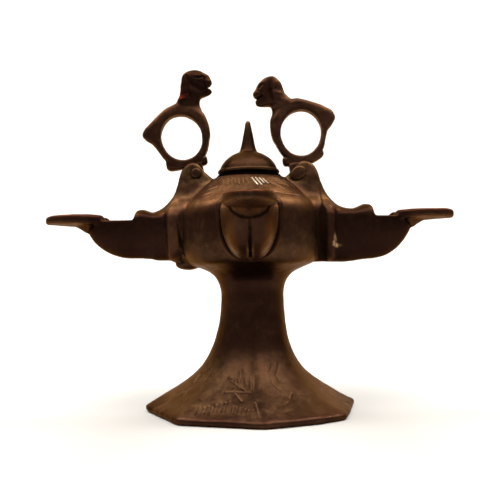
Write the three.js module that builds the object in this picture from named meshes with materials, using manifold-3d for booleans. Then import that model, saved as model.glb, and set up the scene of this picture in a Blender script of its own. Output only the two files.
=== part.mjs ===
// A medieval cast bronze oil lamp with four wick nozzles on a faceted trumpet foot.
// Two animals with ring bodies stand on hinge pins beside the lid and can rock a little.
// Millimetres, +Z up, the origin is at the middle of the foot's underside.
// The nozzles point along +X, +Y, -X and -Y, and -Y is the front.

import * as THREE from 'three';
import { LoftGeometry } from 'three/addons/geometries/LoftGeometry.js';
import { mergeVertices } from 'three/addons/utils/BufferGeometryUtils.js';
import Module from 'manifold-3d';

const wasm = await Module();
wasm.setup();

const degrees = Math.PI / 180;

// Driving dimensions

const wall = 3;
const touchGap = 0.05;
const runningGap = 0.1;
const partingGap = 0.3;

const foot = {
  sides: 8,
  turn: -85 * degrees, // one corner of the octagon lies 5 degrees to the right of the front
  radius: 58,
  rimHeight: 3.4,
  rimRound: 0.8,
  stemRadius: 17.1,
  stemBottom: 61.8,
  stemFacet: 0.35, // how much of the octagon is left at the stem
  hollowTop: 73.4,
  partingHeight: 62.35, // where the foot ends and the reservoir begins
};

const reservoir = {
  stemTop: 62.9,
  floorRadius: 31.9,
  floorHeight: 78.6,
  radius: 38.4,
  sideBottom: 90.4,
  sideTop: 104.4,
  shoulderRadius: 35.4,
  shoulderHeight: 111.7,
  collarRadius: 19.5,
  collarHeight: 126.8,
  neckRadius: 14.3,
  mouthRadius: 12.1,
  mouthHeight: 128.5,
  hollowFloor: 77.4,
};

// The four nozzles were shaped by hand, so their keels, roofs and lips differ a little
const nozzles = [
  { name: 'right', turn: 0, keelDrop: 2.4, roofLift: 1.2, lipShift: 0.6, collarDrop: 0.2 },
  { name: 'back', turn: 90 * degrees, keelDrop: 1, roofLift: 0.4, lipShift: 0, collarDrop: 0 },
  { name: 'left', turn: 180 * degrees, keelDrop: 0, roofLift: 0.2, lipShift: -4.2, collarDrop: -1.4 },
  { name: 'front', turn: 270 * degrees, keelDrop: 1, roofLift: 0.4, lipShift: 0, collarDrop: 0 },
];

const nozzle = {
  rim: 103.7, // upper edge of the open trough
  cleftDepth: 2.6,
  lipFrom: 55,
  lipTo: 67,
  // x, half width, keel and roof at each section from the reservoir to the prow
  stations: [
    [30, 12.9, 81.2, 113.2],
    [44.4, 12.9, 81.2, 109.8],
    [50, 12.9, 81.2, 108.2],
    [58, 13, 81.6, 108.5],
    [63.5, 13.1, 82.2, 109.3],
    [65.2, 13, 82.4, 108.2],
    [65.8, 12.9, 82.5, 106],
    [66.2, 12.9, 82.5, 103.7],
    [71, 12.6, 83.4, 103.7],
    [77.5, 11.6, 86, 103.7],
    [83.9, 9.7, 90.5, 105],
    [89.1, 7.5, 96.5, 105],
    [96.3, 2.7, 101.2, 105],
  ],
};

const channel = { from: 28, halfWidth: 10, floor: 85.4, roof: 105.2, openFrom: 65.9, end: 87 };

const collar = { inner: 30, outer: 44.4, halfWidth: 16.8, bottom: 79.7, top: 112.4 };

const plate = {
  innerX: 78.2,
  widestX: 91,
  tipX: 112.4,
  halfWidth: 11.8,
  innerHalfWidth: 9,
  rimThickness: 3,
  recessFrom: 82,
  recessTo: 108,
  recessFloor: 105.3,
  // x, top and thickness at each section from the trough to the tip
  stations: [
    [78.2, 104.3, 3],
    [80, 106.5, 5],
    [84, 107.2, 6.2],
    [91, 107.7, 6.6],
    [96, 107.8, 6.6],
    [102, 107.7, 5.9],
    [108, 107, 4.4],
    [111, 106.2, 2.8],
    [112.3, 105.8, 1],
  ],
};

const hinge = { pinRadius: 1.6, tangDrop: 5.9, slotDrop: 6.5 };

// The animals were made by hand too: each has its own pin, lean and build
const hinges = {
  left: {
    x: -28.4,
    z: 128.7,
    lean: 8.2 * degrees,
    pinHead: { radius: 2.6, height: 1.1, corners: 11 },
    build: { rise: 0.2, ringShift: 0, headLift: 0.5, headGrow: 1.06 },
    bracketOut: { top: 38, sweep: 48 },
  },
  right: {
    x: 26.8,
    z: 127.9,
    lean: 8.6 * degrees,
    pinHead: { radius: 3.5, height: 1.4, corners: 7 },
    build: { rise: 0.9, ringShift: -0.6, headLift: -1.6, headGrow: 1.02 },
    bracketOut: { top: 38.4, sweep: 53 },
  },
};

const bracket = {
  width: 14.8,
  slot: 8.8,
  bevel: 1.5,
  innerX: 20.4,
  innerZ: 126.4,
  crownX: 30,
  crownZ: 134.9,
  outerZ: 125.5,
  sweepZ: 108.4,
};

const lid = {
  radius: 16.8,
  rimTop: 130.8,
  domeTop: 140.8,
  spireRadius: 5.2,
  spireTop: 157.7,
  spigotRadius: 11.5,
  spigotBottom: 124.8,
};

const animal = {
  ringX: -5,
  ringZ: 20.2,
  holeLong: 12.5,
  holeShort: 11.4,
  holeTurn: 135 * degrees,
  halfThickness: 4.1,
  // angle in degrees from the chest and distance of the outline from the ring's centre
  outline: [
    [0, 15.7],
    [22, 16.8],
    [40, 18],
    [65, 18.6],
    [90, 19],
    [102, 18.3],
    [121, 18.2],
    [141, 19.1],
    [154, 20.6],
    [163, 20.7],
    [171, 18.6],
    [181, 15],
    [201, 13.9],
    [223, 14.6],
    [245, 15.4],
    [275, 15.8],
    [305, 15.6],
    [325, 15.1],
    [347, 14.9],
  ],
  // height over the pin, back, front and half thickness of the neck and head
  head: [
    [33, -6, 8.5, 3.6],
    [38.5, -5, 8.3, 3.9],
    [40.7, -2.6, 9.4, 4.2],
    [43, -0.9, 15, 4.6],
    [45.7, -0.7, 15.2, 4.9],
    [48.4, -0.3, 15.8, 5.2],
    [50.6, 0.2, 14.7, 5.2],
    [52.8, 1, 12.6, 4.7],
    [54.6, 2.2, 10.2, 3.2],
    [55.6, 4.4, 8, 1.2],
  ],
  feet: { heel: -15.9, toe: 6.9, bottom: 4, top: 9.4 },
  tang: { halfWidth: 3.9, top: 5.6 },
};

// Solids from geometries and back

function solidFrom(geometry) {
  const bare = new THREE.BufferGeometry().copy(geometry);
  bare.deleteAttribute('normal');
  bare.deleteAttribute('uv');
  const merged = mergeVertices(bare, 1e-3);
  const corners = merged.index.array;
  const kept = [];
  for (let i = 0; i < corners.length; i += 3) {
    const [a, b, c] = [corners[i], corners[i + 1], corners[i + 2]];
    if (a !== b && b !== c && c !== a) kept.push(a, b, c);
  }
  return new wasm.Manifold(
    new wasm.Mesh({
      numProp: 3,
      vertProperties: merged.attributes.position.array,
      triVerts: new Uint32Array(kept),
    }),
  );
}

function geometryFrom(solid) {
  const mesh = solid.getMesh();
  const geometry = new THREE.BufferGeometry();
  geometry.setAttribute('position', new THREE.BufferAttribute(mesh.vertProperties, 3));
  geometry.setIndex(new THREE.BufferAttribute(mesh.triVerts, 1));
  geometry.computeVertexNormals();
  return geometry;
}

const join = (solids) => solids.reduce((whole, next) => whole.add(next));

// One solid for each nozzle, made along +X and turned about the lamp's axis
const forEachNozzle = (make) => join(nozzles.map((one) => solidFrom(make(one).rotateZ(one.turn))));

const flatPoints = (pairs) => pairs.map(([a, b]) => new THREE.Vector2(a, b));

const bezier = (count, ...corners) => new THREE.CubicBezierCurve(...flatPoints(corners)).getPoints(count);

// A shape drawn in x and z, as thick as asked along y, with rounded edges
function slab(shape, thickness, bevel) {
  const geometry = new THREE.ExtrudeGeometry(shape, {
    depth: thickness - 2 * bevel,
    bevelEnabled: bevel > 0,
    bevelThickness: bevel,
    bevelSize: bevel,
    bevelOffset: -bevel,
    bevelSegments: 1,
    curveSegments: 4,
  });
  return geometry.translate(0, 0, bevel - thickness / 2).rotateX(Math.PI / 2);
}

// The vessel: foot, stem and reservoir in rings that change from octagon to circle going up

function ring(radius, height, facet, perSide) {
  const sideAngle = (2 * Math.PI) / foot.sides;
  const points = [];
  for (let i = 0; i < perSide * foot.sides; i++) {
    const angle = foot.turn + (i / perSide) * sideAngle;
    const fromCorner = ((i % perSide) / perSide) * sideAngle;
    const flat = Math.cos(sideAngle / 2) / Math.cos(fromCorner - sideAngle / 2);
    const r = radius * (1 - facet * (1 - flat));
    points.push(new THREE.Vector3(r * Math.cos(angle), r * Math.sin(angle), height));
  }
  return points;
}

const flareCorners = [
  [foot.radius - foot.rimRound, foot.rimHeight],
  [19.6, 20.9],
  [foot.stemRadius, 34],
  [foot.stemRadius, foot.stemBottom],
];

// The octagon is full at the foot's rim, fades up the flare and is gone at the reservoir
function facetAt(height) {
  const climbed = Math.min(Math.max(height / foot.stemBottom, 0), 1);
  const onFlare = foot.stemFacet + (1 - foot.stemFacet) * Math.pow(1 - climbed, 1.5);
  return onFlare * (1 - THREE.MathUtils.smoothstep(height, foot.stemBottom, reservoir.floorHeight));
}

function vesselOutside() {
  const { radius, rimRound, rimHeight } = foot;
  const rim = flatPoints([
    [0, 0],
    [radius - rimRound, 0],
    [radius, rimRound],
    [radius, rimHeight - rimRound],
  ]);
  const flare = bezier(8, ...flareCorners);
  const stemEnd = [foot.stemRadius, reservoir.stemTop];
  const floorEdge = [reservoir.floorRadius, reservoir.floorHeight];
  const underside = bezier(4, stemEnd, [foot.stemRadius, 73.9], [23.1, 75.6], floorEdge);
  const side = bezier(3, floorEdge, [36, 80], [38.2, 83.9], [reservoir.radius, reservoir.sideBottom]);
  const shoulder = bezier(
    2,
    [reservoir.radius, reservoir.sideTop],
    [reservoir.radius, 107.4],
    [37.3, 109.9],
    [reservoir.shoulderRadius, reservoir.shoulderHeight],
  );
  const mouth = flatPoints([
    [reservoir.collarRadius + 1, reservoir.collarHeight - 1.6],
    [reservoir.collarRadius - 0.3, reservoir.collarHeight],
    [reservoir.neckRadius, reservoir.collarHeight + 0.2],
    [reservoir.neckRadius, reservoir.mouthHeight],
    [0, reservoir.mouthHeight],
  ]);
  const profile = [...rim, ...flare, ...underside, ...side.slice(1), ...shoulder, ...mouth];
  return new LoftGeometry(profile.map(({ x, y }) => ring(x, y, facetAt(y), 3)));
}

// The hollow of the foot follows its outside, one wall thickness in
function footHollow() {
  const curve = new THREE.CubicBezierCurve(...flatPoints(flareCorners));
  const edge = foot.radius - 1.6 * wall;
  const steps = 6;
  const inside = [];
  for (let i = 0; i <= steps; i++) {
    const point = curve.getPoint(i / steps);
    const run = curve.getTangent(i / steps);
    const inner = new THREE.Vector2(point.x - run.y * wall, point.y + run.x * wall);
    if (inner.y > 1 && inner.x < edge - 1) inside.push(inner);
  }
  const throat = foot.stemRadius - wall;
  const rows = [
    ...flatPoints([[0, -1], [edge, -1], [edge, 0.4]]),
    ...inside,
    ...flatPoints([[throat, foot.hollowTop - 3], [throat - 3, foot.hollowTop], [0, foot.hollowTop]]),
  ];
  return new LoftGeometry(rows.map(({ x, y }) => ring(x, y, facetAt(y), 2)));
}

function reservoirHollow() {
  const inner = reservoir.radius - wall;
  const ceiling = reservoir.collarHeight - wall;
  const rows = [
    [0, reservoir.hollowFloor],
    [16, reservoir.hollowFloor + 1.2],
    [27, reservoir.floorHeight + wall],
    [inner - 2, 85.4],
    [inner, reservoir.sideBottom + 1],
    [inner, reservoir.sideTop],
    [reservoir.shoulderRadius - 2, reservoir.shoulderHeight - wall],
    [reservoir.collarRadius - 2.2, ceiling],
    [reservoir.mouthRadius, ceiling],
    [reservoir.mouthRadius, reservoir.mouthHeight + 1],
    [0, reservoir.mouthHeight + 1],
  ];
  return new LoftGeometry(rows.map(([r, z]) => ring(r, z, 0, 2)));
}

// One section across a nozzle: an arched roof over a deep rounded trough.
// A cleft lifts the lowest point, so that the trough has two lobes.
function horseshoe(x, halfWidth, bottom, middle, top, points, cleft = 0) {
  const made = [];
  for (let i = 0; i < points; i++) {
    const angle = (i / points) * 2 * Math.PI - Math.PI / 2;
    const rise = Math.sin(angle);
    const z = middle + rise * (rise < 0 ? middle - bottom : top - middle);
    made.push(new THREE.Vector3(x, halfWidth * Math.cos(angle), i === 0 ? z + cleft : z));
  }
  return made;
}

const capped = { capStart: true, capEnd: true };

function nozzleOutside({ keelDrop, roofLift, lipShift }) {
  const { stations, rim, cleftDepth, lipFrom, lipTo } = nozzle;
  const sections = stations.map(([x, halfWidth, keel, roof]) => {
    const ahead = THREE.MathUtils.smoothstep(x, 72, 90);
    const cleft = cleftDepth * (1 - ahead);
    const lift = roof > rim + 1 ? roofLift : 0;
    const shift = x > lipFrom && x < lipTo ? lipShift : 0;
    return horseshoe(x + shift, halfWidth, keel - keelDrop * (1 - ahead), rim, roof + lift, 14, cleft);
  });
  return new LoftGeometry(sections, capped);
}

// The way for the oil and the wick: roofed as far as the lip, open beyond it
function roofedChannel({ lipShift }) {
  const { from, halfWidth, floor, roof, openFrom } = channel;
  const ends = [from, openFrom + lipShift + 1];
  return new LoftGeometry(
    ends.map((x) => horseshoe(x, halfWidth, floor, nozzle.rim - 2, roof, 8)),
    capped,
  );
}

function openChannel({ lipShift }) {
  const { halfWidth, floor, openFrom, end } = channel;
  const rows = [
    [openFrom + lipShift, halfWidth, floor + 0.6],
    [72, halfWidth - 0.4, floor + 2],
    [78, halfWidth - 1.2, floor + 5.2],
    [83, halfWidth - 3, floor + 11],
    [end, halfWidth - 5, floor + 18.5],
  ];
  const sections = rows.map(([x, w, bottom]) => horseshoe(x, w, bottom, nozzle.rim + 3, nozzle.rim + 9, 8));
  return new LoftGeometry(sections, capped);
}

function collarBand({ collarDrop }) {
  const { inner, outer, halfWidth, bottom, top } = collar;
  const rows = [
    [inner, 0.8, 3],
    [38.5, 0.3, 0.6],
    [42.4, 0, -0.5],
    [outer, 1.3, -2],
  ];
  const sections = rows.map(([x, shrink, lift]) =>
    horseshoe(x, halfWidth - shrink, bottom - collarDrop + shrink, nozzle.rim, top + lift, 14),
  );
  return new LoftGeometry(sections, capped);
}

// Half width of the leaf-shaped wick plate
function leafHalfWidth(x) {
  const { innerX, widestX, tipX, halfWidth, innerHalfWidth } = plate;
  if (x < widestX) {
    const back = (widestX - x) / (widestX - innerX);
    return halfWidth - (halfWidth - innerHalfWidth) * back * back;
  }
  const ahead = (x - widestX) / (tipX - widestX);
  return halfWidth * Math.pow(1 - ahead * ahead, 0.75);
}

function wickPlate() {
  const sections = plate.stations.map(([x, top, thickness]) => {
    const w = leafHalfWidth(x);
    const edge = Math.min(plate.rimThickness, 0.8 * thickness);
    const round = Math.min(0.7, 0.4 * w);
    const right = [
      [0.55 * w, top - 0.88 * thickness],
      [w - 0.5 * round, top - edge],
      [w, top - 0.5 * edge],
      [w - round, top],
    ];
    const left = right.map(([y, z]) => [-y, z]).reverse();
    return [[0, top - thickness], ...right, ...left].map(([y, z]) => new THREE.Vector3(x, y, z));
  });
  return new LoftGeometry(sections, capped);
}

// The shallow recess in the plate's top
function plateRecess() {
  const { recessFrom, recessTo, recessFloor } = plate;
  const steps = 5;
  const outline = (share, height) => {
    const side = [];
    for (let i = 0; i <= steps; i++) {
      const x = recessTo + (recessFrom - recessTo) * (i / steps);
      side.push(new THREE.Vector3(x, share * leafHalfWidth(x), height));
    }
    const other = side.slice().reverse();
    return [...side, ...other.map(({ x, y, z }) => new THREE.Vector3(x, -y, z))];
  };
  return new LoftGeometry([outline(0.66, recessFloor), outline(0.84, recessFloor + 3.2)], capped);
}

const boreGeometry = () => {
  const radius = hinge.pinRadius + runningGap;
  return new THREE.CylinderGeometry(radius, radius, 2 * bracket.width, 14);
};

// The bracket for one animal: a block on the shoulder that sweeps down to the nozzle's roof
function bracketBlock({ x, bracketOut }) {
  const { width, bevel, innerX, innerZ, crownX, crownZ, outerZ, sweepZ } = bracket;
  const { top: outerX, sweep: sweepX } = bracketOut;
  const outline = new THREE.Shape();
  outline.moveTo(sweepX, sweepZ - 4);
  outline.lineTo(sweepX, sweepZ);
  outline.quadraticCurveTo(outerX + 3.2, sweepZ + 3, outerX, outerZ);
  outline.quadraticCurveTo(outerX - 2, crownZ, crownX, crownZ);
  outline.quadraticCurveTo(crownX - 5, crownZ, innerX + 3.8, innerZ + 3.6);
  outline.lineTo(innerX, innerZ);
  outline.lineTo(innerX - 1, innerZ - 6);
  outline.lineTo(crownX, sweepZ - 4);
  outline.closePath();
  return slab(outline, width, bevel).rotateZ(x > 0 ? 0 : Math.PI);
}

// The slot for an animal's tang, with room for its inner corner in the shoulder
function hingeSlot({ x, z }) {
  const from = Math.abs(x) - 6;
  const length = 30;
  const slot = new THREE.BoxGeometry(length, bracket.slot, length);
  return slot.translate(Math.sign(x) * (from + length / 2), 0, z - hinge.slotDrop + length / 2);
}

// A lump of the casting under the left collar
function castingLump() {
  return new THREE.SphereGeometry(1, 8, 6).scale(6.4, 5.5, 3.4).translate(-33.6, 0, 79.7);
}

// The whole casting, and below its parts: foot, reservoir and one part for each nozzle

function casting() {
  const outside = join([
    solidFrom(vesselOutside()),
    forEachNozzle(nozzleOutside),
    forEachNozzle(collarBand),
    forEachNozzle(wickPlate),
    solidFrom(bracketBlock(hinges.left)),
    solidFrom(bracketBlock(hinges.right)),
    solidFrom(castingLump()),
  ]);
  const hollow = join([
    solidFrom(footHollow()),
    solidFrom(reservoirHollow()),
    forEachNozzle(roofedChannel),
    forEachNozzle(openChannel),
    forEachNozzle(plateRecess),
    solidFrom(hingeSlot(hinges.left)),
    solidFrom(hingeSlot(hinges.right)),
    solidFrom(boreGeometry().translate(hinges.left.x, 0, hinges.left.z)),
    solidFrom(boreGeometry().translate(hinges.right.x, 0, hinges.right.z)),
  ]);
  return outside.subtract(hollow);
}

// All that lies below a height, or beyond a nozzle's collar
function below(height) {
  const size = 300;
  return solidFrom(new THREE.BoxGeometry(size, size, size).translate(0, 0, height - size / 2));
}

function beyondCollar({ turn }, x) {
  const size = 120;
  const block = new THREE.BoxGeometry(size, size / 2, size);
  return solidFrom(block.translate(x + size / 2, 0, reservoir.stemTop + size / 2).rotateZ(turn));
}

function castingParts() {
  const half = partingGap / 2;
  const whole = casting();
  const upper = whole.subtract(below(foot.partingHeight + half));
  const parts = { foot: whole.intersect(below(foot.partingHeight - half)), reservoir: upper };
  for (const one of nozzles) {
    parts.reservoir = parts.reservoir.subtract(beyondCollar(one, collar.outer - half));
    parts[`${one.name}_nozzle`] = upper.intersect(beyondCollar(one, collar.outer + half));
  }
  return parts;
}

// The lid: a dome with a spire, and a spigot that sits in the neck
function lidGeometry() {
  const { radius, rimTop, domeTop, spireRadius, spireTop, spigotRadius, spigotBottom } = lid;
  const seat = reservoir.mouthHeight + touchGap;
  const hollow = spigotRadius - 1.8;
  const dome = bezier(5, [radius - 0.8, rimTop], [14.6, 133.9], [11.5, 138.3], [spireRadius + 0.2, domeTop]);
  const spire = new THREE.SplineCurve(
    flatPoints([
      [spireRadius - 0.4, domeTop + 0.7],
      [3.9, domeTop + 3.2],
      [2.8, domeTop + 7.6],
      [1.9, domeTop + 12],
      [1.2, spireTop - 0.9],
    ]),
  ).getPoints(4);
  const inside = bezier(2, [0, 137.9], [6, 137.9], [hollow, 135.4], [hollow, 131.9]);
  const profile = [
    ...inside,
    ...flatPoints([
      [hollow, spigotBottom],
      [spigotRadius, spigotBottom],
      [spigotRadius, seat],
      [radius - 1, seat],
      [radius, seat + 0.8],
      [radius, seat + 1.5],
    ]),
    ...dome,
    ...spire,
    new THREE.Vector2(0, spireTop),
  ];
  return new THREE.LatheGeometry(profile, 20).rotateX(Math.PI / 2);
}

// The animal, facing +X with its pin at the origin

function ringBody({ rise, ringShift }) {
  const { holeLong, holeShort, holeTurn, halfThickness, outline } = animal;
  const ringX = animal.ringX + ringShift;
  const ringZ = animal.ringZ + rise;
  const corners = outline.map(([angle, r]) => {
    return new THREE.Vector3(r * Math.cos(angle * degrees), 0, r * Math.sin(angle * degrees));
  });
  const around = new THREE.CatmullRomCurve3(corners, true);
  const count = 28;
  const sections = [];
  for (let i = 0; i <= count; i++) {
    const point = around.getPoint((i % count) / count);
    const outer = Math.hypot(point.x, point.z);
    const angle = Math.atan2(point.z, point.x) - holeTurn;
    const inner = 1 / Math.hypot(Math.cos(angle) / holeLong, Math.sin(angle) / holeShort);
    const thick = outer - inner;
    const h = Math.min(halfThickness, 2.3 + 0.5 * thick);
    const across = [
      [outer, -0.5 * h],
      [outer, 0.5 * h],
      [outer - 0.3 * thick, h],
      [inner + 0.3 * thick, h],
      [inner, 0.5 * h],
      [inner, -0.5 * h],
      [inner + 0.3 * thick, -h],
      [outer - 0.3 * thick, -h],
    ];
    const run = point.divideScalar(outer);
    sections.push(across.map(([r, y]) => new THREE.Vector3(ringX + r * run.x, y, ringZ + r * run.z)));
  }
  return new LoftGeometry(sections);
}

// Neck and head in level slices, narrower toward the muzzle
function headBody({ rise, headLift, headGrow }) {
  const points = 10;
  const chin = 40.7;
  const sections = animal.head.map(([z, back, front, halfWidth]) => {
    const slice = [];
    const grow = z > chin ? headGrow : 1;
    const level = z > chin ? chin + (z - chin) * headGrow + rise + headLift : z + rise;
    for (let i = 0; i < points; i++) {
      const angle = (i / points) * 2 * Math.PI;
      const x = (front + back) / 2 + ((grow * (front - back)) / 2) * Math.cos(angle);
      const y = grow * halfWidth * Math.sin(angle) * (1 - 0.25 * Math.cos(angle));
      slice.push(new THREE.Vector3(x, y, level));
    }
    return slice;
  });
  return new LoftGeometry(sections, capped);
}

function mouthGap({ rise, headLift }) {
  const shape = new THREE.Shape(flatPoints([[11.8, 45.8], [20, 40.2], [20, 48.3]]));
  return slab(shape, 20, 0).translate(0, 0, rise + headLift);
}

// The bar that joins the feet, in slices from the heel to the toe
function feetBar({ rise }) {
  const { heel, toe, bottom, top } = animal.feet;
  const half = animal.halfThickness - 0.3;
  const rows = [
    [heel, 0.4, 0.75, 0.6],
    [heel + 0.8, 0.1, 1, 0.9],
    [heel + 3, 0, 0.85, 1],
    [-9, 0, 0.55, 1],
    [0, 0, 0.55, 1],
    [toe - 2.4, 0.05, 0.9, 1],
    [toe - 0.7, 0.1, 0.9, 0.9],
    [toe, 0.3, 0.7, 0.6],
  ];
  const sections = rows.map(([x, low, high, wide]) => {
    const w = wide * half;
    const z = (share) => bottom + rise + share * (top - bottom);
    const mid = high - low;
    const right = [
      [0.75 * w, z(low)],
      [w, z(low + 0.25 * mid)],
      [w, z(high - 0.25 * mid)],
      [0.75 * w, z(high)],
    ];
    const left = right.map(([y, level]) => [-y, level]).reverse();
    return [...right, ...left].map(([y, level]) => new THREE.Vector3(x, y, level));
  });
  return new LoftGeometry(sections, capped);
}

function tangPlate() {
  const { halfWidth, top } = animal.tang;
  const bottom = -hinge.tangDrop;
  const shape = new THREE.Shape(
    flatPoints([
      [-halfWidth, bottom],
      [halfWidth, bottom],
      [halfWidth, top],
      [-halfWidth, top],
    ]),
  );
  return slab(shape, 2 * animal.halfThickness, 0);
}

function animalBody(build) {
  const head = solidFrom(headBody(build)).subtract(solidFrom(mouthGap(build)));
  const whole = join([solidFrom(ringBody(build)), head, solidFrom(feetBar(build)), solidFrom(tangPlate())]);
  return whole.subtract(solidFrom(boreGeometry()));
}

// The pins, headed on both sides; one head is round, the other hammered to an angular outline
function pinGeometry({ x, z, pinHead }) {
  const { radius, height, corners } = pinHead;
  const seat = bracket.width / 2 + touchGap;
  const half = flatPoints([
    [hinge.pinRadius, seat],
    [radius, seat],
    [radius, seat + 0.4 * height],
    [0.6 * radius, seat + height],
    [0, seat + height],
  ]);
  const mirrored = half.map((point) => new THREE.Vector2(point.x, -point.y)).reverse();
  return new THREE.LatheGeometry([...mirrored, ...half], corners).translate(x, 0, z);
}

// The lamp is put together

const group = new THREE.Group();
group.name = 'oil_lamp';

const bronze = { color: 0x4a3322, metalness: 0.8, roughness: 0.5 };

function addMesh(parent, name, geometry, finish) {
  const mesh = new THREE.Mesh(geometry, new THREE.MeshStandardMaterial({ ...bronze, ...finish }));
  mesh.name = name;
  parent.add(mesh);
}

for (const [name, solid] of Object.entries(castingParts())) {
  addMesh(group, name, geometryFrom(solid), {});
}
addMesh(group, 'lid', geometryFrom(solidFrom(lidGeometry())), { color: 0x463020 });

// Both animals lean to the left, as they stood when the lamp was pictured
for (const [side, own] of Object.entries(hinges)) {
  const turning = new THREE.Group();
  turning.position.set(own.x, 0, own.z);
  turning.rotation.set(0, -own.lean, side === 'right' ? Math.PI : 0);
  addMesh(turning, `${side}_animal`, geometryFrom(animalBody(own.build)), { color: 0x553822 });
  group.add(turning);
  addMesh(group, `${side}_hinge_pin`, geometryFrom(solidFrom(pinGeometry(own))), { color: 0x5e4026 });
}

export default group;
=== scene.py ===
import math

import bmesh
import bpy
import numpy as np
from mathutils import Matrix, Vector, geometry, noise


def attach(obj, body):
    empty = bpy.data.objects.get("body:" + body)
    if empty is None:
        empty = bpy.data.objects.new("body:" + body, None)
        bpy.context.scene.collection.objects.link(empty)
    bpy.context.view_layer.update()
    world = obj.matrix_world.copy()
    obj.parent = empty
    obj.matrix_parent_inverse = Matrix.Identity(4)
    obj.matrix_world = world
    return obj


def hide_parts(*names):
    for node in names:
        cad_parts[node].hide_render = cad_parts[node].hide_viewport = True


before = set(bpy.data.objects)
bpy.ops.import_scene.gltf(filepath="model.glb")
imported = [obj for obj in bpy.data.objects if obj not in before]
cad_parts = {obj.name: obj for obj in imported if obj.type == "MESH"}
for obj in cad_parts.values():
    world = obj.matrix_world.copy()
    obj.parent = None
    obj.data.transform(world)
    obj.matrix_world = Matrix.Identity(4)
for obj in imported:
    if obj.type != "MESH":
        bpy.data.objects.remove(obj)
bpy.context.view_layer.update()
print("frame loaded:", ", ".join(sorted(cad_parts)))

mm = 0.001  # forms are drawn in millimetres and become metres in toObject
degree = math.pi / 180
scene = bpy.context.scene


# Helpers for drawing forms

def bezier(knot, handle, farHandle, farKnot, count):
    corners = [Vector((*point, 0)) for point in (knot, handle, farHandle, farKnot)]
    return [(p.x, p.y) for p in geometry.interpolate_bezier(*corners, count)]


def flowing(rows, step):
    # given rows become close rows on smooth curves that never overshoot
    table = np.array(rows, float)
    at = table[:, 0]
    gap = np.diff(at)[:, None]
    slope = np.diff(table, axis=0) / gap
    lean = np.zeros_like(table)
    lean[0], lean[-1] = slope[0], slope[-1]
    both = slope[:-1] * slope[1:]
    total = np.where(both > 0, slope[:-1] + slope[1:], 1)
    lean[1:-1] = np.where(both > 0, 2 * both / total, 0)
    fine = np.linspace(at[0], at[-1], max(2, int((at[-1] - at[0]) / step) + 1))
    k = np.clip(np.searchsorted(at, fine, side="right") - 1, 0, len(gap) - 1)
    t = ((fine - at[k]) / gap[k, 0])[:, None]
    start = (1 + 2 * t) * (1 - t) ** 2 * table[k] + t * (1 - t) ** 2 * gap[k] * lean[k]
    return start + t * t * (3 - 2 * t) * table[k + 1] + t * t * (t - 1) * gap[k] * lean[k + 1]


def smoothStep(value, low, high):
    t = np.clip((value - low) / (high - low), 0, 1)
    return t * t * (3 - 2 * t)


def signedPower(value, power):
    # rounds a section off: 1 is a circle, towards 0 it becomes a rectangle
    return math.copysign(abs(value) ** power, value)


def ringLoft(bm, rows, count, place, closed=False):
    # a circle is extruded once for each further row, and place() sets every ring
    turn = bm.verts.layers.float.get("turn") or bm.verts.layers.float.new("turn")
    ring = bmesh.ops.create_circle(bm, segments=count, radius=1)["verts"]
    for v in ring:
        v[turn] = math.atan2(v.co.y, v.co.x)
    edges = list({e for v in ring for e in v.link_edges})
    first, made = edges, list(ring)
    for i, row in enumerate(rows):
        if i:
            grown = bmesh.ops.extrude_edge_only(bm, edges=edges)["geom"]
            ring = [g for g in grown if isinstance(g, bmesh.types.BMVert)]
            inRing = set(ring)
            edges = [g for g in grown if isinstance(g, bmesh.types.BMEdge) and inRing.issuperset(g.verts)]
            made += ring
        for v in ring:
            v.co = place(row, v[turn])
    if closed:
        bmesh.ops.bridge_loops(bm, edges=first + edges)
    else:
        bmesh.ops.edgeloop_fill(bm, edges=first)
        bmesh.ops.edgeloop_fill(bm, edges=edges)
    return made


def spinProfile(bm, profile, steps, axis=(0, 0, 1)):
    # profile in r and height, open at the axis or closed on itself
    along = Vector(axis)
    out = Vector((1, 0, 0))
    verts = [bm.verts.new(out * r + along * z) for r, z in profile]
    edges = [bm.edges.new(pair) for pair in zip(verts, verts[1:])]
    bmesh.ops.spin(bm, geom=verts + edges, axis=axis, cent=(0, 0, 0), angle=2 * math.pi,
                   steps=steps, use_merge=True)
    bmesh.ops.remove_doubles(bm, verts=bm.verts, dist=1e-4)


def blob(bm, centre, radii, tilt=0, fine=20):
    # an ellipsoid, tilted about the Y axis
    place = Matrix.Translation(centre) @ Matrix.Rotation(tilt * degree, 4, "Y") @ Matrix.Diagonal((*radii, 1))
    bmesh.ops.create_uvsphere(bm, u_segments=fine, v_segments=fine // 2, radius=1, matrix=place)


def toObject(bm, name):
    bmesh.ops.recalc_face_normals(bm, faces=bm.faces)
    bmesh.ops.scale(bm, vec=(mm, mm, mm), verts=bm.verts)
    mesh = bpy.data.meshes.new(name)
    bm.to_mesh(mesh)
    bm.free()
    obj = bpy.data.objects.new(name, mesh)
    scene.collection.objects.link(obj)
    return obj


def formObject(name, draw):
    bm = bmesh.new()
    draw(bm)
    return toObject(bm, name)


def bake(obj):
    # the modifiers become the mesh
    view = bpy.context.evaluated_depsgraph_get()
    old = obj.data
    obj.data = bpy.data.meshes.new_from_object(obj.evaluated_get(view))
    obj.data.name = obj.name
    obj.modifiers.clear()
    bpy.data.meshes.remove(old)
    return obj


def combine(obj, others, operation):
    for other in others:
        step = obj.modifiers.new(operation, "BOOLEAN")
        step.operation = operation
        step.solver = "MANIFOLD"
        step.object = other
    bake(obj)
    for other in others:
        bpy.data.objects.remove(other)
    return obj


def fuse(obj, voxel, rounds):
    # joined forms grow together with small fillets, as in a casting
    remesh = obj.modifiers.new("fuse", "REMESH")
    remesh.mode = "VOXEL"
    remesh.voxel_size = voxel * mm
    soften = obj.modifiers.new("soften", "SMOOTH")
    soften.factor = 0.5
    soften.iterations = rounds
    return bake(obj)


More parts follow.
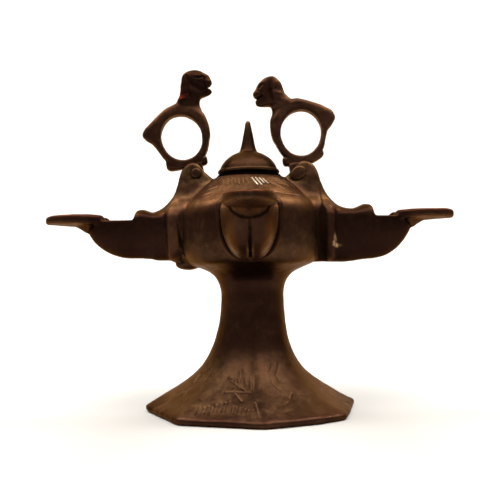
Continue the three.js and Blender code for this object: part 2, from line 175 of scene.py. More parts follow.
def ease(obj, share, rounds):
    # smooths further where the share is above 0
    group = obj.vertex_groups.new(name="ease")
    for i in np.flatnonzero(share > 0.02):
        group.add([int(i)], float(share[i]), "REPLACE")
    soften = obj.modifiers.new("ease", "SMOOTH")
    soften.factor = 0.5
    soften.iterations = rounds
    soften.vertex_group = group.name
    bake(obj)
    obj.vertex_groups.clear()
    return obj


def thin(obj, most):
    # fewer triangles where the surface is plain
    obj.data.calc_loop_triangles()
    count = len(obj.data.loop_triangles)
    if count > most:
        step = obj.modifiers.new("thin", "DECIMATE")
        step.ratio = most / count
        bake(obj)
    return obj


def places(mesh):
    flat = np.empty(len(mesh.vertices) * 3)
    mesh.vertices.foreach_get("co", flat)
    return flat.reshape(-1, 3) / mm


def normals(mesh):
    flat = np.empty(len(mesh.vertices) * 3)
    mesh.vertex_normals.foreach_get("vector", flat)
    return flat.reshape(-1, 3)


def setPlaces(mesh, points):
    mesh.vertices.foreach_set("co", (points * mm).ravel())
    mesh.update()


def strokeDistance(points, strokes, reach=3):
    # distance of every point from the nearest stroke, each a list of points; far ones get a large number
    nearest = np.full(len(points), 1e3)
    for stroke in strokes:
        line = np.array(stroke, float)
        inside = (points > line.min(0) - reach) & (points < line.max(0) + reach)
        close = np.flatnonzero(inside.all(1))
        for a, b in zip(line, line[1:]):
            run = b - a
            share = np.clip((points[close] - a) @ run / max(run @ run, 1e-9), 0, 1)
            away = np.linalg.norm(points[close] - a - share[:, None] * run, axis=1)
            nearest[close] = np.minimum(nearest[close], away)
    return nearest


def refineNear(obj, strokes, reach):
    # finer faces along the strokes, so that they can be cut in
    bm = bmesh.new()
    bm.from_mesh(obj.data)
    points = np.array([v.co for v in bm.verts]) / mm
    close = strokeDistance(points, strokes) < reach
    bm.verts.ensure_lookup_table()
    edges = [e for e in bm.edges if close[e.verts[0].index] and close[e.verts[1].index]]
    bmesh.ops.subdivide_edges(bm, edges=edges, cuts=1, use_grid_fill=True)
    bm.to_mesh(obj.data)
    bm.free()


def carve(obj, strokes, halfWidth, depth):
    mesh = obj.data
    points = places(mesh)
    away = strokeDistance(points, strokes)
    cut = depth * np.exp(-(away / halfWidth) ** 2)
    setPlaces(mesh, points - normals(mesh) * cut[:, None])


def press(obj, depth):
    # moves the surface inwards by a depth for every point
    mesh = obj.data
    setPlaces(mesh, places(mesh) - normals(mesh) * depth[:, None])


def roughen(obj, waves):
    # hand-made unevenness, as (size of the waves, height) in millimetres
    mesh = obj.data
    points = places(mesh)
    lift = np.zeros(len(points))
    for size, height in waves:
        lift += height * np.array([noise.noise(p / size) for p in map(Vector, points)])
    lift *= np.clip(points[:, 2] / 3, 0, 1)  # the underside stays flat
    setPlaces(mesh, points + normals(mesh) * lift[:, None])


def curvature(mesh):
    # above 0 on edges and ridges, below 0 in grooves and corners
    points, facing = places(mesh), normals(mesh)
    flat = np.empty(len(mesh.edges) * 2, dtype=np.int32)
    mesh.edges.foreach_get("vertices", flat)
    a, b = flat.reshape(-1, 2).T
    run = points[b] - points[a]
    length = np.maximum((run * run).sum(1), 1e-6)
    bend = np.zeros(len(points))
    count = np.zeros(len(points))
    for here, step in ((a, run), (b, -run)):
        np.add.at(bend, here, -(step * facing[here]).sum(1) / length)
        np.add.at(count, here, 1)
    bend /= np.maximum(count, 1)
    for _ in range(3):  # spread a little over the neighbours
        total, weight = bend.copy(), np.ones(len(points))
        np.add.at(total, a, bend[b])
        np.add.at(total, b, bend[a])
        np.add.at(weight, a, 1)
        np.add.at(weight, b, 1)
        bend = total / weight
    return bend


def setAttribute(mesh, name, values):
    layer = mesh.attributes.get(name) or mesh.attributes.new(name, "FLOAT", "POINT")
    layer.data.foreach_set("value", np.clip(values, 0, 1).astype(np.float32))


def finishPiece(obj, body, material, nodes, sharp=50):
    mesh = obj.data
    mesh.materials.clear()
    mesh.materials.append(material)
    for polygon in mesh.polygons:
        polygon.use_smooth = True
    mesh.set_sharp_from_angle(angle=sharp * degree)
    bend = curvature(mesh)
    setAttribute(mesh, "wear", (bend - 0.1) / 0.5)
    setAttribute(mesh, "grime", (-bend - 0.04) / 0.3)
    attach(obj, body)
    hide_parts(*nodes)
    print(obj.name, "done:", len(mesh.polygons), "faces")


# Bronze finishes

def bronze(name, look):
    material = bpy.data.materials.new(name)
    material.use_nodes = True
    nodes, links = material.node_tree.nodes, material.node_tree.links
    shader = nodes["Principled BSDF"]
    shader.inputs["Specular IOR Level"].default_value = look["specular"]
    shader.inputs["Specular Tint"].default_value = (*look["sheen"], 1)
    where = nodes.new("ShaderNodeTexCoord").outputs["Object"]

    def cloud(scale, detail, rough=0.55):
        node = nodes.new("ShaderNodeTexNoise")
        node.inputs["Scale"].default_value = scale
        node.inputs["Detail"].default_value = detail
        node.inputs["Roughness"].default_value = rough
        links.new(where, node.inputs["Vector"])
        return node.outputs["Fac"]

    def spread(value, low, high, start=0.0, end=1.0):
        node = nodes.new("ShaderNodeMapRange")
        links.new(value, node.inputs["Value"])
        for key, number in (("From Min", low), ("From Max", high), ("To Min", start), ("To Max", end)):
            node.inputs[key].default_value = number
        return node.outputs["Result"]

    def attribute(key):
        node = nodes.new("ShaderNodeAttribute")
        node.attribute_name = key
        return node.outputs["Fac"]

    def product(a, b):
        node = nodes.new("ShaderNodeMath")
        node.operation = "MULTIPLY"
        links.new(a, node.inputs[0])
        links.new(b, node.inputs[1])
        return node.outputs["Value"]

    def tint(below, colour, share):
        node = nodes.new("ShaderNodeMix")
        node.data_type = "RGBA"
        links.new(share, node.inputs["Factor"])
        if isinstance(below, tuple):
            node.inputs["A"].default_value = (*below, 1)
        else:
            links.new(below, node.inputs["A"])
        node.inputs["B"].default_value = (*colour, 1)
        return node.outputs["Result"]

    def relief(height, distance):
        node = nodes.new("ShaderNodeBump")
        node.inputs["Strength"].default_value = look["pitting"]
        node.inputs["Distance"].default_value = distance * mm
        links.new(height, node.inputs["Height"])
        return node

    blotch = cloud(38, 5)
    mottle = cloud(230, 6, 0.65)
    grain = cloud(900, 4, 0.6)
    colour = tint(look["dark"], look["mid"], spread(blotch, 0.38, 0.66))
    colour = tint(colour, look["warm"], product(spread(mottle, 0.5, 0.75), spread(blotch, 0.42, 0.6)))
    colour = tint(colour, look["worn"], product(attribute("wear"), spread(mottle, 0.25, 0.7, 0.35, 1)))
    colour = tint(colour, look["grime"], attribute("grime"))
    for key, shade in look["marks"].items():
        share = attribute(key)
        # wear and painted light go on in blotches
        if key == "wornAndLit":
            share = product(share, spread(mottle, 0.36, 0.64, 0.2, 1.6))
        colour = tint(colour, shade, share)
    links.new(colour, shader.inputs["Base Color"])
    gloss = spread(mottle, 0.3, 0.75, *look["roughness"])
    # where shade is painted near black, the surface is dull and not metallic
    if "blackShade" in look["marks"]:
        dull = nodes.new("ShaderNodeMix")
        links.new(attribute("blackShade"), dull.inputs["Factor"])
        links.new(gloss, dull.inputs["A"])
        dull.inputs["B"].default_value = 0.9
        gloss = dull.outputs["Result"]
        links.new(spread(attribute("blackShade"), 0, 1, look["metallic"], 0), shader.inputs["Metallic"])
    else:
        shader.inputs["Metallic"].default_value = look["metallic"]
    links.new(gloss, shader.inputs["Roughness"])

    pits, fine = relief(mottle, 0.25), relief(grain, 0.06)
    links.new(pits.outputs["Normal"], fine.inputs["Normal"])
    links.new(fine.outputs["Normal"], shader.inputs["Normal"])
    return material


castingLook = {
    "dark": (0.028, 0.0120, 0.0076),
    "mid": (0.051, 0.0230, 0.0132),
    "warm": (0.078, 0.0375, 0.0188),
    "worn": (0.135, 0.070, 0.032),
    "grime": (0.008, 0.004, 0.0025),
    "sheen": (0.82, 0.60, 0.46),
    # painted over by attribute, from the first to the last
    "marks": {
        # golden: wear, painted light and a painted reflection
        "wornAndLit": (0.112, 0.062, 0.028),
        # painted shade
        "soot": (0.011, 0.0044, 0.0036),
        "rust": (0.050, 0.0165, 0.0105),
        "etch": (0.085, 0.044, 0.022),
        # painted shade, near black
        "blackShade": (0.0012, 0.0006, 0.0004),
        # strokes painted pale, near white
        "paleStroke": (0.60, 0.53, 0.43),
        "drip": (0.42, 0.27, 0.14),
    },
    "metallic": 0.8,
    "specular": 0.0,
    "roughness": (0.32, 0.52),
    "pitting": 0.5,
}
animalLook = dict(
    castingLook,
    # painted shade, near-black painted shade and red dabs
    marks={"soot": (0.011, 0.0044, 0.0036), "blackShade": (0.0012, 0.0006, 0.0004), "dab": (0.09, 0.007, 0.006)},
)
# a lighter copy of the animals' bronze for the right animal: painted light
litAnimalLook = dict(
    animalLook,
    dark=(0.034, 0.0150, 0.0096),
    mid=(0.063, 0.0290, 0.0170),
    warm=(0.098, 0.0475, 0.025),
)
lidLook = dict(
    castingLook,
    dark=(0.017, 0.0078, 0.0044),
    mid=(0.030, 0.0142, 0.0076),
    warm=(0.050, 0.0244, 0.012),
    marks={},
)
rivetLook = dict(castingLook, mid=(0.060, 0.028, 0.014), warm=(0.090, 0.043, 0.021), marks={})


# The casting: foot, reservoir, nozzles and brackets in one piece

casting = {
    "sides": 8,
    "cornerTurn": -85 * degree,
    "footRadius": 58,
    "rimHeight": 3.4,
    "stemRadius": 17.1,
    "stemBottom": 61.8,
    "stemFacet": 0.35,  # how much of the octagon is left at the stem
    "floorHeight": 78.6,
    "wall": 3,
    "voxel": 0.65,
    "most": 186000,
}
flareHandles = ((57.2, casting["rimHeight"]), (19.6, 20.9), (casting["stemRadius"], 34),
                (casting["stemRadius"], casting["stemBottom"]))
shoulderEdge = (35.4, 111.7)
collarEdge = (20, 125.6)


def facetAt(height):
    climbed = min(max(height / casting["stemBottom"], 0), 1)
    onFlare = casting["stemFacet"] + (1 - casting["stemFacet"]) * (1 - climbed) ** 1.5
    return onFlare * (1 - smoothStep(height, casting["stemBottom"], casting["floorHeight"]))


def faceted(angle, height):
    # share of the radius at an angle, 1 at the octagon's corners; the ridges soften upwards
    side = 2 * math.pi / casting["sides"]
    offCorner = abs((angle - casting["cornerTurn"]) % side - side / 2)
    soft = 0.025 + 0.24 * smoothStep(height, 4, 26)
    offCorner = side / 2 + soft * 0.5 - math.hypot(side / 2 - offCorner, soft)
    flat = math.cos(side / 2) / math.cos(offCorner)
    return 1 - facetAt(height) * (1 - flat)


def pressFacets(bm):
    for v in bm.verts:
        share = faceted(math.atan2(v.co.y, v.co.x), v.co.z)
        v.co.x *= share
        v.co.y *= share


def drawVessel(bm):
    edge, stem, floor = casting["footRadius"], casting["stemRadius"], casting["floorHeight"]
    rim = [(0, 0), (edge - 1.4, 0), (edge - 0.4, 0.5), (edge, 1.3), (edge, 2.3), (edge - 0.3, 3.1)]
    flare = bezier(*flareHandles, 44)
    underside = bezier((stem, 62.9), (stem, 73.9), (23.1, 75.6), (31.9, floor), 22)
    side = bezier((31.9, floor), (36, 80), (38.2, 83.9), (38.4, 90.4), 12)
    shoulder = bezier((38.4, 104.4), (38.4, 107.4), (37.3, 109.9), shoulderEdge, 10)
    top = [collarEdge, (19.5, 126), (18.4, 126.1), (16.9, 127.9), (16.2, 128.4), (0, 128.4)]
    spinProfile(bm, rim + flare + underside + side[1:] + shoulder + top, 160)
    pressFacets(bm)


def drawFootHollow(bm):
    outer = bezier(*flareHandles, 24)
    inner = []
    for (r, z), (nextR, nextZ) in zip(outer, outer[1:]):
        run = Vector((nextR - r, nextZ - z)).normalized()
        inner.append((r - run.y * casting["wall"], z + run.x * casting["wall"]))
    inner = [(r, z) for r, z in inner if z > 1 and r < 52]
    spinProfile(bm, [(0, -1), (53.2, -1), (53.2, 0.4)] + inner + [(14.1, 70.4), (11, 73.4), (0, 73.4)], 96)
    pressFacets(bm)


def drawReservoirHollow(bm):
    inside = [(27, 81.6), (33.4, 85.4), (35.4, 91.4), (35.4, 104.4), (33.4, 108.7), (17.3, 123.8)]
    spinProfile(bm, [(0, 77.4), (16, 78.6)] + inside + [(12.1, 123.8), (12.1, 129.5), (0, 129.5)], 96)


nozzle = {
    "turns": {"right": 0, "back": 90, "left": 180, "front": 270},
    "keelDrop": {"right": 2.4, "back": 1, "left": 0, "front": 1},
    "roofLift": {"right": 1.2, "back": 0.4, "left": 0.2, "front": 0.4},
    "lipShift": {"right": 0.6, "back": 0, "left": -4.2, "front": 0},
    "collarDrop": {"right": 0.2, "back": 0, "left": -1.4, "front": 0},
    "collarShift": {"right": -0.8, "back": 0, "left": -2, "front": 0},
    "collarFace": {"right": 41, "back": 40, "left": 38.4, "front": 40},
    # painted shade on each nozzle's walls
    "soot": {"right": 0.74, "back": 0.5, "left": 0.7, "front": 0},
    "rim": 103.7,
    "collar": (16.8, 79.7, 112.4),  # half width, keel and roof
    "channel": (10, 85.4, 105.2),
    "cleft": (3.3, 6),  # depth of the groove between the two lobes and half width of their rounding
    # x, half width, keel and roof at each section, from the reservoir to the prow
    "trough": [
        (30, 13.5, 81.2, 113.2),
        (44.4, 13.5, 81.2, 109.8),
        (50, 13.5, 81.2, 108),
        (55, 13.4, 81.5, 107.5),
        (59, 13.4, 82, 108.7),
        (62, 13.4, 82.2, 109.7),
        (64.6, 13.3, 82.4, 109.5),
        (66, 13.2, 82.5, 107.8),
        (66.3, 13.2, 82.5, 103.7),
        (71, 12.7, 83.4, 103.7),
        (77.5, 11.1, 86, 103.7),
        (83.9, 8.4, 90.5, 105),
        (87.6, 5.8, 95.4, 105),
    ],
    # the facet that rises from the prow to the plate
    "facet": [(82, 8.6, 98, 105), (86.6, 7, 96.2, 105), (88.4, 6.2, 96.6, 105), (93, 4.4, 99.6, 105),
              (98, 1.2, 102.2, 105)],
}


def acrossNozzle(row, angle, middle, power=2.0, roofPower=None):
    # one section: an arched roof over a deep rounded trough
    x, halfWidth, bottom, top = row
    rise, out = math.sin(angle), math.cos(angle)
    power = roofPower if roofPower and rise > 0 else power
    rise, out = signedPower(rise, 2 / power), signedPower(out, 2 / power)
    return Vector((x, halfWidth * out, middle + rise * (middle - bottom if rise < 0 else top - middle)))


def turned(bm, verts, side):
    spin = Matrix.Rotation(nozzle["turns"][side] * degree, 3, "Z")
    bmesh.ops.rotate(bm, verts=verts, cent=(0, 0, 0), matrix=spin)


def cleftShift(x):
    # how far the middle is set in: upwards under the trough, backwards on the prow
    depth = nozzle["cleft"][0] * (1 - 0.5 * smoothStep(x, 80, 87.6))
    steep = smoothStep(x, 66, 76)
    return Vector((-0.85 * depth * steep, 0, depth * (1 - 0.5 * steep)))


def drawTrough(bm, side):
    rim = nozzle["rim"]
    rows = []
    for x, wide, keel, roof in flowing(nozzle["trough"], 0.7):
        ahead = smoothStep(x, 74, 92)
        lift = nozzle["roofLift"][side] if roof > rim + 1 else 0
        shift = nozzle["lipShift"][side] * smoothStep(x, 52, 56) * (1 - smoothStep(x, 66.4, 69))
        rows.append((x + shift, wide, keel - nozzle["keelDrop"][side] * (1 - ahead), roof + lift))

    def place(row, angle):
        spot = acrossNozzle(row, angle, rim, 2.4)
        if spot.z < rim:
            off = 1 - min(abs(spot.y) / nozzle["cleft"][1], 1)
            spot += cleftShift(row[0]) * (1 - math.sqrt(1 - off * off))
        return spot

    turned(bm, ringLoft(bm, rows, 120, place), side)


def drawFacet(bm, side):
    rows = flowing(nozzle["facet"], 0.8)
    turned(bm, ringLoft(bm, rows, 40, lambda row, angle: acrossNozzle(row, angle, 104.2, 1.4)), side)


def drawCollar(bm, side):
    half, keel, roof = nozzle["collar"]
    drop, face = nozzle["collarDrop"][side], nozzle["collarFace"][side]
    # x, how much the section shrinks and how much its roof is lifted
    rows = [(30, 1.6, 2.4), (face - 4, 1.8, 0.8), (face - 2.4, 1.6, 0.2), (face - 1, 0.6, 0.3),
            (face, 0.1, 0.2), (43.8, 0, -0.2), (45, 0.2, -0.7), (45.8, 0.9, -1.4), (46.2, 1.9, -2.2)]

    def place(row, angle):
        x, shrink, lift = row
        x += nozzle["collarShift"][side] * smoothStep(x, 39, 42)
        section = (x, half - shrink, keel - drop + shrink, roof + lift)
        return acrossNozzle(section, angle, nozzle["rim"], 2.5, 3.6)

    turned(bm, ringLoft(bm, rows, 72, place), side)


plate = {
    "inner": 78.2,
    "widest": 91,
    "tip": 112.4,
    "halfWidth": 11.8,
    "innerHalfWidth": 9,
    "dish": (95, 13),  # middle and half length of the dish in its top
    # x, top and thickness from the trough to the tip
    "sections": [
        (77.4, 103.2, 2.2),
        (78.2, 105.4, 4.2),
        (79.4, 106.7, 5.2),
        (84, 107.2, 6.2),
        (91, 107.7, 6.6),
        (96, 107.8, 6.6),
        (101, 107.7, 6),
        (105, 107.6, 5.5),
        (108.5, 107.3, 4.9),
        (111, 106.9, 4.3),
        (112.2, 106.3, 3.2),
    ],
}


def leafHalfWidth(x):
    if x < plate["widest"]:
        back = (plate["widest"] - x) / (plate["widest"] - plate["inner"])
        return plate["halfWidth"] - (plate["halfWidth"] - plate["innerHalfWidth"]) * back * back
    ahead = min((x - plate["widest"]) / (plate["tip"] - plate["widest"]), 1)
    return plate["halfWidth"] * max(1 - ahead * ahead, 0.003) ** 0.75


def drawPlate(bm, side):
    # an upright edge, a nearly flat top and an underside that sinks to the middle
    def place(row, angle):
        x, top, thick = row
        half = leafHalfWidth(x)
        edge = min(4.5, 0.78 * thick)
        across, rise = math.cos(angle), math.sin(angle)
        if rise > 0:
            return Vector((x, signedPower(across, 0.4) * half, top - edge / 2 * (1 - rise ** 0.4)))
        share = 1 - abs(math.degrees(math.atan2(-rise, across)) - 90) / 90
        if share < 0.2:
            return Vector((x, math.copysign(half, across), top - edge / 2 * (1 + share / 0.2)))
        inward = (share - 0.2) / 0.8
        low = top - edge - (thick - edge) * inward ** 0.7
        return Vector((x, math.copysign(half * (1 - inward), across), low))

    turned(bm, ringLoft(bm, flowing(plate["sections"], 0.7), 80, place), side)


def drawRecess(bm, side):
    middle, length = plate["dish"]

    def place(row, angle):
        share, height = row
        x = middle + length * math.cos(angle)
        return Vector((x, share * leafHalfWidth(x) * signedPower(math.sin(angle), 0.8), height))

    turned(bm, ringLoft(bm, [(0.6, 105.3), (0.78, 106), (0.86, 109)], 48, place), side)


def drawRoofedChannel(bm, side):
    end = 66.9 + nozzle["lipShift"][side]
    rows = [(x, *nozzle["channel"]) for x in (28, end)]
    turned(bm, ringLoft(bm, rows, 40, lambda row, angle: acrossNozzle(row, angle, 101.7)), side)


def drawOpenChannel(bm, side):
    start = 65.9 + nozzle["lipShift"][side]
    table = [(start, 10, 86), (72, 9.4, 87.4), (78, 7.6, 90.6), (83, 5.4, 96.4), (87, 3.6, 103.9)]
    rows = [(x, wide, floor, 112.7) for x, wide, floor in flowing(table, 1)]
    turned(bm, ringLoft(bm, rows, 40, lambda row, angle: acrossNozzle(row, angle, 106.7)), side)


hinges = {
    "left": {"x": -28.4, "z": 128.7, "lean": 8.2, "outer": 38, "sweep": 52},
    "right": {"x": 26.8, "z": 127.9, "lean": 8.6, "outer": 38.4, "sweep": 53},
}
rivets = {
    "left": {"shank": 1.6, "radius": 2.6, "height": 1.1, "corners": 40, "stretch": 1, "slant": 0},
    # hammered out of round
    "right": {"shank": 1.6, "radius": 3.3, "height": 0.9, "corners": 9, "stretch": 1.3, "slant": 35},
}
pinBore = 1.7  # radius of the hole for the pin
bracket = {"halfWidth": 7.4, "slot": 8.8, "slotDrop": 6.5, "bevel": 2.2, "spread": 0.25}


def drawBracket(bm, side):
    outer, sweep = hinges[side]["outer"], hinges[side]["sweep"]
    outline = [(sweep, 104.4), (sweep, 108)]
    outline += bezier((sweep, 108), (sweep - 6.5, 110.6), (outer + 2.2, 115.5), (outer, 125.5), 10)[1:]
    outline += bezier((outer, 125.5), (outer - 1.4, 131.6), (outer - 4, 134.9), (30, 134.9), 7)[1:]
    outline += bezier((30, 134.9), (26.6, 134.9), (25.4, 131.4), (24.2, 130), 6)[1:]
    outline += [(20.4, 126.4), (19.4, 120.4), (30, 104.4)]
    verts = [bm.verts.new((x, -bracket["halfWidth"], z)) for x, z in outline]
    face = bm.faces.new(verts)
    grown = bmesh.ops.extrude_face_region(bm, geom=[face])["geom"]
    far = [g for g in grown if isinstance(g, bmesh.types.BMVert)]
    bmesh.ops.translate(bm, verts=far, vec=(0, 2 * bracket["halfWidth"], 0))
    rims = [e for e in bm.edges if abs(e.verts[0].co.y - e.verts[1].co.y) < 0.01]
    bmesh.ops.bevel(bm, geom=rims, offset=bracket["bevel"], affect="EDGES", segments=3, profile=0.5,
                    material=-1)
    for height in np.arange(106, 130, 2):
        everything = bm.verts[:] + bm.edges[:] + bm.faces[:]
        bmesh.ops.bisect_plane(bm, geom=everything, plane_co=(0, 0, height), plane_no=(0, 0, 1))
    for v in bm.verts:
        v.co.y *= 1 + bracket["spread"] * smoothStep(129 - v.co.z, 0, 18) * smoothStep(44 - v.co.x, 0, 8)
    if side == "left":
        bmesh.ops.rotate(bm, verts=bm.verts, cent=(0, 0, 0), matrix=Matrix.Rotation(math.pi, 3, "Z"))


def drawSlot(bm, side):
    own = hinges[side]
    start = abs(own["x"]) - 6
    middle = math.copysign(start + 15, own["x"])
    place = Matrix.Translation((middle, 0, own["z"] - bracket["slotDrop"] + 15))
    bmesh.ops.create_cube(bm, size=1, matrix=place @ Matrix.Diagonal((30, bracket["slot"], 30, 1)))


def pinHole(bm, x=0, z=0):
    place = Matrix.Translation((x, 0, z)) @ Matrix.Rotation(math.pi / 2, 4, "X")
    bmesh.ops.create_cone(bm, cap_ends=True, segments=24, radius1=pinBore, radius2=pinBore, depth=30,
                          matrix=place)


def drawBore(bm, side):
    pinHole(bm, hinges[side]["x"], hinges[side]["z"])


def atPin(side):
    return Matrix.Translation(Vector((hinges[side]["x"], 0, hinges[side]["z"])) * mm)


hip = {"x": 35, "z": 109.3, "radii": (9, 14.2, 7.6)}
lump = {"centre": (-33.8, 0, 79.6), "radii": (7.4, 6, 3.2)}


def drawHip(bm, side):
    # the swelling that carries the bracket over shoulder and collar
    blob(bm, (math.copysign(hip["x"], hinges[side]["x"]), 0, hip["z"]), hip["radii"], fine=40)


def drawLump(bm):
    blob(bm, lump["centre"], lump["radii"])  # left by the casting under the left collar


def onShoulder(angle, climb):
    # a point of the shoulder at an angle from the front, 0 at its edge and 1 at the lid's collar
    r = shoulderEdge[0] + (collarEdge[0] - shoulderEdge[0]) * climb
    z = shoulderEdge[1] + (collarEdge[1] - shoulderEdge[1]) * climb
    return (r * math.sin(angle * degree), -r * math.cos(angle * degree), z)


flareCurve = np.array(bezier(*flareHandles, 60))


def onFoot(angle, height):
    # a point of the flare at an angle from the front
    r = np.interp(height, flareCurve[:, 1], flareCurve[:, 0])
    turn = (angle - 90) * degree
    r *= faceted(turn, height)
    return (r * math.cos(turn), r * math.sin(turn), height)


engraving = {
    "halfWidth": 0.36,
    "depth": 0.28,
    # strokes as (angle from the front, climb) points of the shoulder
    "shoulder": [
        [(-52.4, 0.89), (-39.9, 0.67)], [(-42, 0.89), (-35.4, 0.66)], [(-30.2, 0.84), (-27.1, 0.61)],
        [(-25, 0.89), (-21.3, 0.62)], [(-19.6, 0.86), (-16.9, 0.64)], [(-14.2, 0.84), (-11.8, 0.6)],
        [(-8.7, 0.86), (-6.6, 0.6)], [(-3.7, 0.84), (-0.6, 0.6)], [(-53.9, 0.78), (-57.9, 0.95)],
        [(-62, 0.8), (-55.7, 0.86)], [(-60, 0.55), (-50.6, 0.63)], [(-53.5, 0.43), (-37.1, 0.52)],
        [(-68, 0.12), (-61.5, 0.19)], [(-62.7, 0.02), (-64.8, 0.16)], [(-50, 0.2), (-40, 0.3)],
        [(33.4, 0.82), (40, 0.62)], [(42.5, 0.89), (51.8, 0.57)], [(52.3, 0.83), (63.4, 0.57)],
        [(61.3, 0.73), (66, 0.6)], [(28.6, 0.62), (39.4, 0.4)], [(36, 0.9), (46, 0.6)],
    ],
    # those that catch the light
    "bright": [
        [(4.2, 0.87), (9.6, 0.57)], [(9.6, 0.87), (14.2, 0.57)], [(14.6, 0.85), (18.2, 0.66)],
        [(19.4, 0.82), (23, 0.64)],
    ],
    "line": [(25, 0.27), (41.5, 0.19), (60, 0.22)],
    # strokes as (angle from the front, height) points of the foot
    "foot": [
        [(-32.6, 5.3), (-34.1, 8)], [(-29.9, 5.1), (-31.4, 8)], [(-28.2, 5.5), (-29, 8.4)],
        [(-25.4, 5.3), (-26.1, 7.9)], [(-24.2, 6.6), (-25.1, 9.3)], [(-21.6, 6.7), (-22.2, 9.9)],
        [(-18.7, 6.5), (-19.1, 10)], [(-16.7, 6.8), (-16.4, 10.6)], [(-12.9, 6.4), (-12.8, 8.7)],
        [(-11, 6.2), (-10.7, 8.5)], [(-8.7, 5.7), (-8.3, 8.3)], [(-6.2, 5.3), (-5, 7.8)],
        [(-3.8, 5.6), (-2.8, 7.6)], [(-1.8, 5.4), (-0.3, 7.7)], [(1.2, 10.3), (3, 5)],
        [(-27.4, 14.4), (-27.3, 21), (-20.7, 19.8)], [(-22.8, 14.2), (-2.4, 14.5)],
        [(-16.4, 23.4), (-12.5, 15.9)], [(-21.7, 19.1), (-8.6, 15.6)], [(-8.4, 22.2), (-17.7, 15.8)],
        [(-12.5, 24.5), (-7.9, 20.2), (-6.2, 17.5)],
        [(-2, 20.3), (-1.2, 14.9)], [(0.4, 20), (-0.1, 15.1)], [(-22.2, 16.3), (-18.6, 20.1)],
        [(-15.1, 14), (-17.4, 11.2)], [(-14.5, 13.8), (-8.2, 10.8)], [(-11.8, 17.1), (-6.6, 15)],
        [(-64.9, 16.4), (-69.7, 20.3), (-58.4, 23.4), (-56.3, 25.4)],
        [(-64.9, 16.4), (-53.3, 17.4), (-51.5, 20.6), (-56.3, 25.4)],
        [(-61, 15.3), (-64.6, 12.3), (-58.5, 10.2), (-48, 8.1), (-40.8, 7.3)],
        [(-59, 11.8), (-53.2, 9.7)], [(-57, 17.5), (-60.1, 20.8)],
    ],
    "faint": [
        [(24.4, 25.7), (18.4, 21.8), (18.7, 17.3), (22.5, 14.7)], [(35.2, 26.1), (26, 21.6), (26.5, 18.3)],
        [(43.4, 16.6), (39.6, 14.2)], [(31.3, 12.7), (26.3, 10.1), (20.2, 8.4)],
        [(12.3, 7.8), (15.6, 6.1), (23, 6.4)],
    ],
}


def strokesOn(surface, table):
    # each stroke follows the surface in short steps
    strokes = []
    for line in table:
        points = []
        for a, b in zip(line, line[1:]):
            points += [surface(*(np.array(a) + (np.array(b) - a) * t)) for t in np.linspace(0, 1, 5)]
        strokes.append(points)
    return strokes


def backBand():
    # the row of strokes goes on round the back
    rows = []
    for i, angle in enumerate(range(122, 240, 6)):
        slant = (2.2, -1.8, 0, 2.8, -2.6, 0.6)[i % 6]
        rows.append([(angle - slant, 0.6), (angle + slant, 0.87 - 0.1 * (i % 3 == 1))])
    return rows


def rootGroove(side):
    # the line round a nozzle where it comes out of its collar
    spin = Matrix.Rotation(nozzle["turns"][side] * degree, 3, "Z")
    section = (46.2 + nozzle["collarShift"][side], 14.4, 80.4 - nozzle["keelDrop"][side], 110.4)
    around = [acrossNozzle(section, a * degree, nozzle["rim"], 2.4) for a in range(-186, 7, 6)]
    return [tuple(spin @ v) for v in around]


def inNozzle(points, side):
    # places as x along the nozzle, y across it and height
    turn = nozzle["turns"][side] * degree
    x = points[:, 0] * math.cos(turn) + points[:, 1] * math.sin(turn)
    y = points[:, 1] * math.cos(turn) - points[:, 0] * math.sin(turn)
    return x, y, points[:, 2]


def collarGap(points):
    # the gap between bowl and collar, broad on the right and a slit on the left, pressed in and painted dark
    # as shade
    x, y, z = inNozzle(points, "right")
    half = 2.4 * (1 - smoothStep(z, 103, 112.5))
    right = (1 - smoothStep(np.abs(x - 38.6) - half, -0.4, 0.6)) * (np.abs(y) > 5) * (z > 78)
    x, y, z = inNozzle(points, "left")
    half = 0.15 + 0.5 * (1 - smoothStep(z, 82, 98))
    middle = 35.2 + 0.14 * (z - 82)
    left = 0.8 * (1 - smoothStep(np.abs(x - middle) - half, -0.3, 0.5)) * (np.abs(y) > 10) * (z > 81)
    return np.maximum(0.72 * right, left * (1 - smoothStep(z, 99, 105)))


def nozzleShade(points):
    # dark between the lobes, fading upwards, and along the prow's edge
    shade = np.zeros(len(points))
    prow = [[(0, -8.6, 102.4), (0, -7.4, 100.4), (0, -4.3, 98.3), (0, 0, 97.2),
             (0, 4.3, 98.3), (0, 7.4, 100.4), (0, 8.6, 102.4)]]
    for side in nozzle["turns"]:
        x, y, z = inNozzle(points, side)
        line = np.exp(-(y / 0.6) ** 2) * (x > 46) * (x < 89) * (z > 78) * (z < 96.5)
        shade = np.maximum(shade, line * (1.1 - 0.8 * smoothStep(z, 83, 95)))
        flat = np.stack([np.zeros(len(x)), y, z], axis=1)
        edge = (0.95 - strokeDistance(flat, prow) / 0.95) * (x > 80) * (x < 90)
        shade = np.maximum(shade, edge)
    return shade


def rivetShade(points):
    # painted shade round the rivets' heads, most below them
    shade = np.zeros(len(points))
    for side, own in rivets.items():
        x, z = points[:, 0] - hinges[side]["x"], points[:, 2] - hinges[side]["z"]
        slant = own["slant"] * degree
        along = (x * math.cos(slant) + z * math.sin(slant)) / own["stretch"]
        away = np.hypot(along, z * math.cos(slant) - x * math.sin(slant))
        low = 0.65 - 0.35 * z / np.maximum(away, 0.1)
        ring = (1 - smoothStep(np.abs(away - own["radius"] - 0.3), 0.4, 1)) * (np.abs(points[:, 1]) > 6)
        shade = np.maximum(shade, ring * low)
    return shade


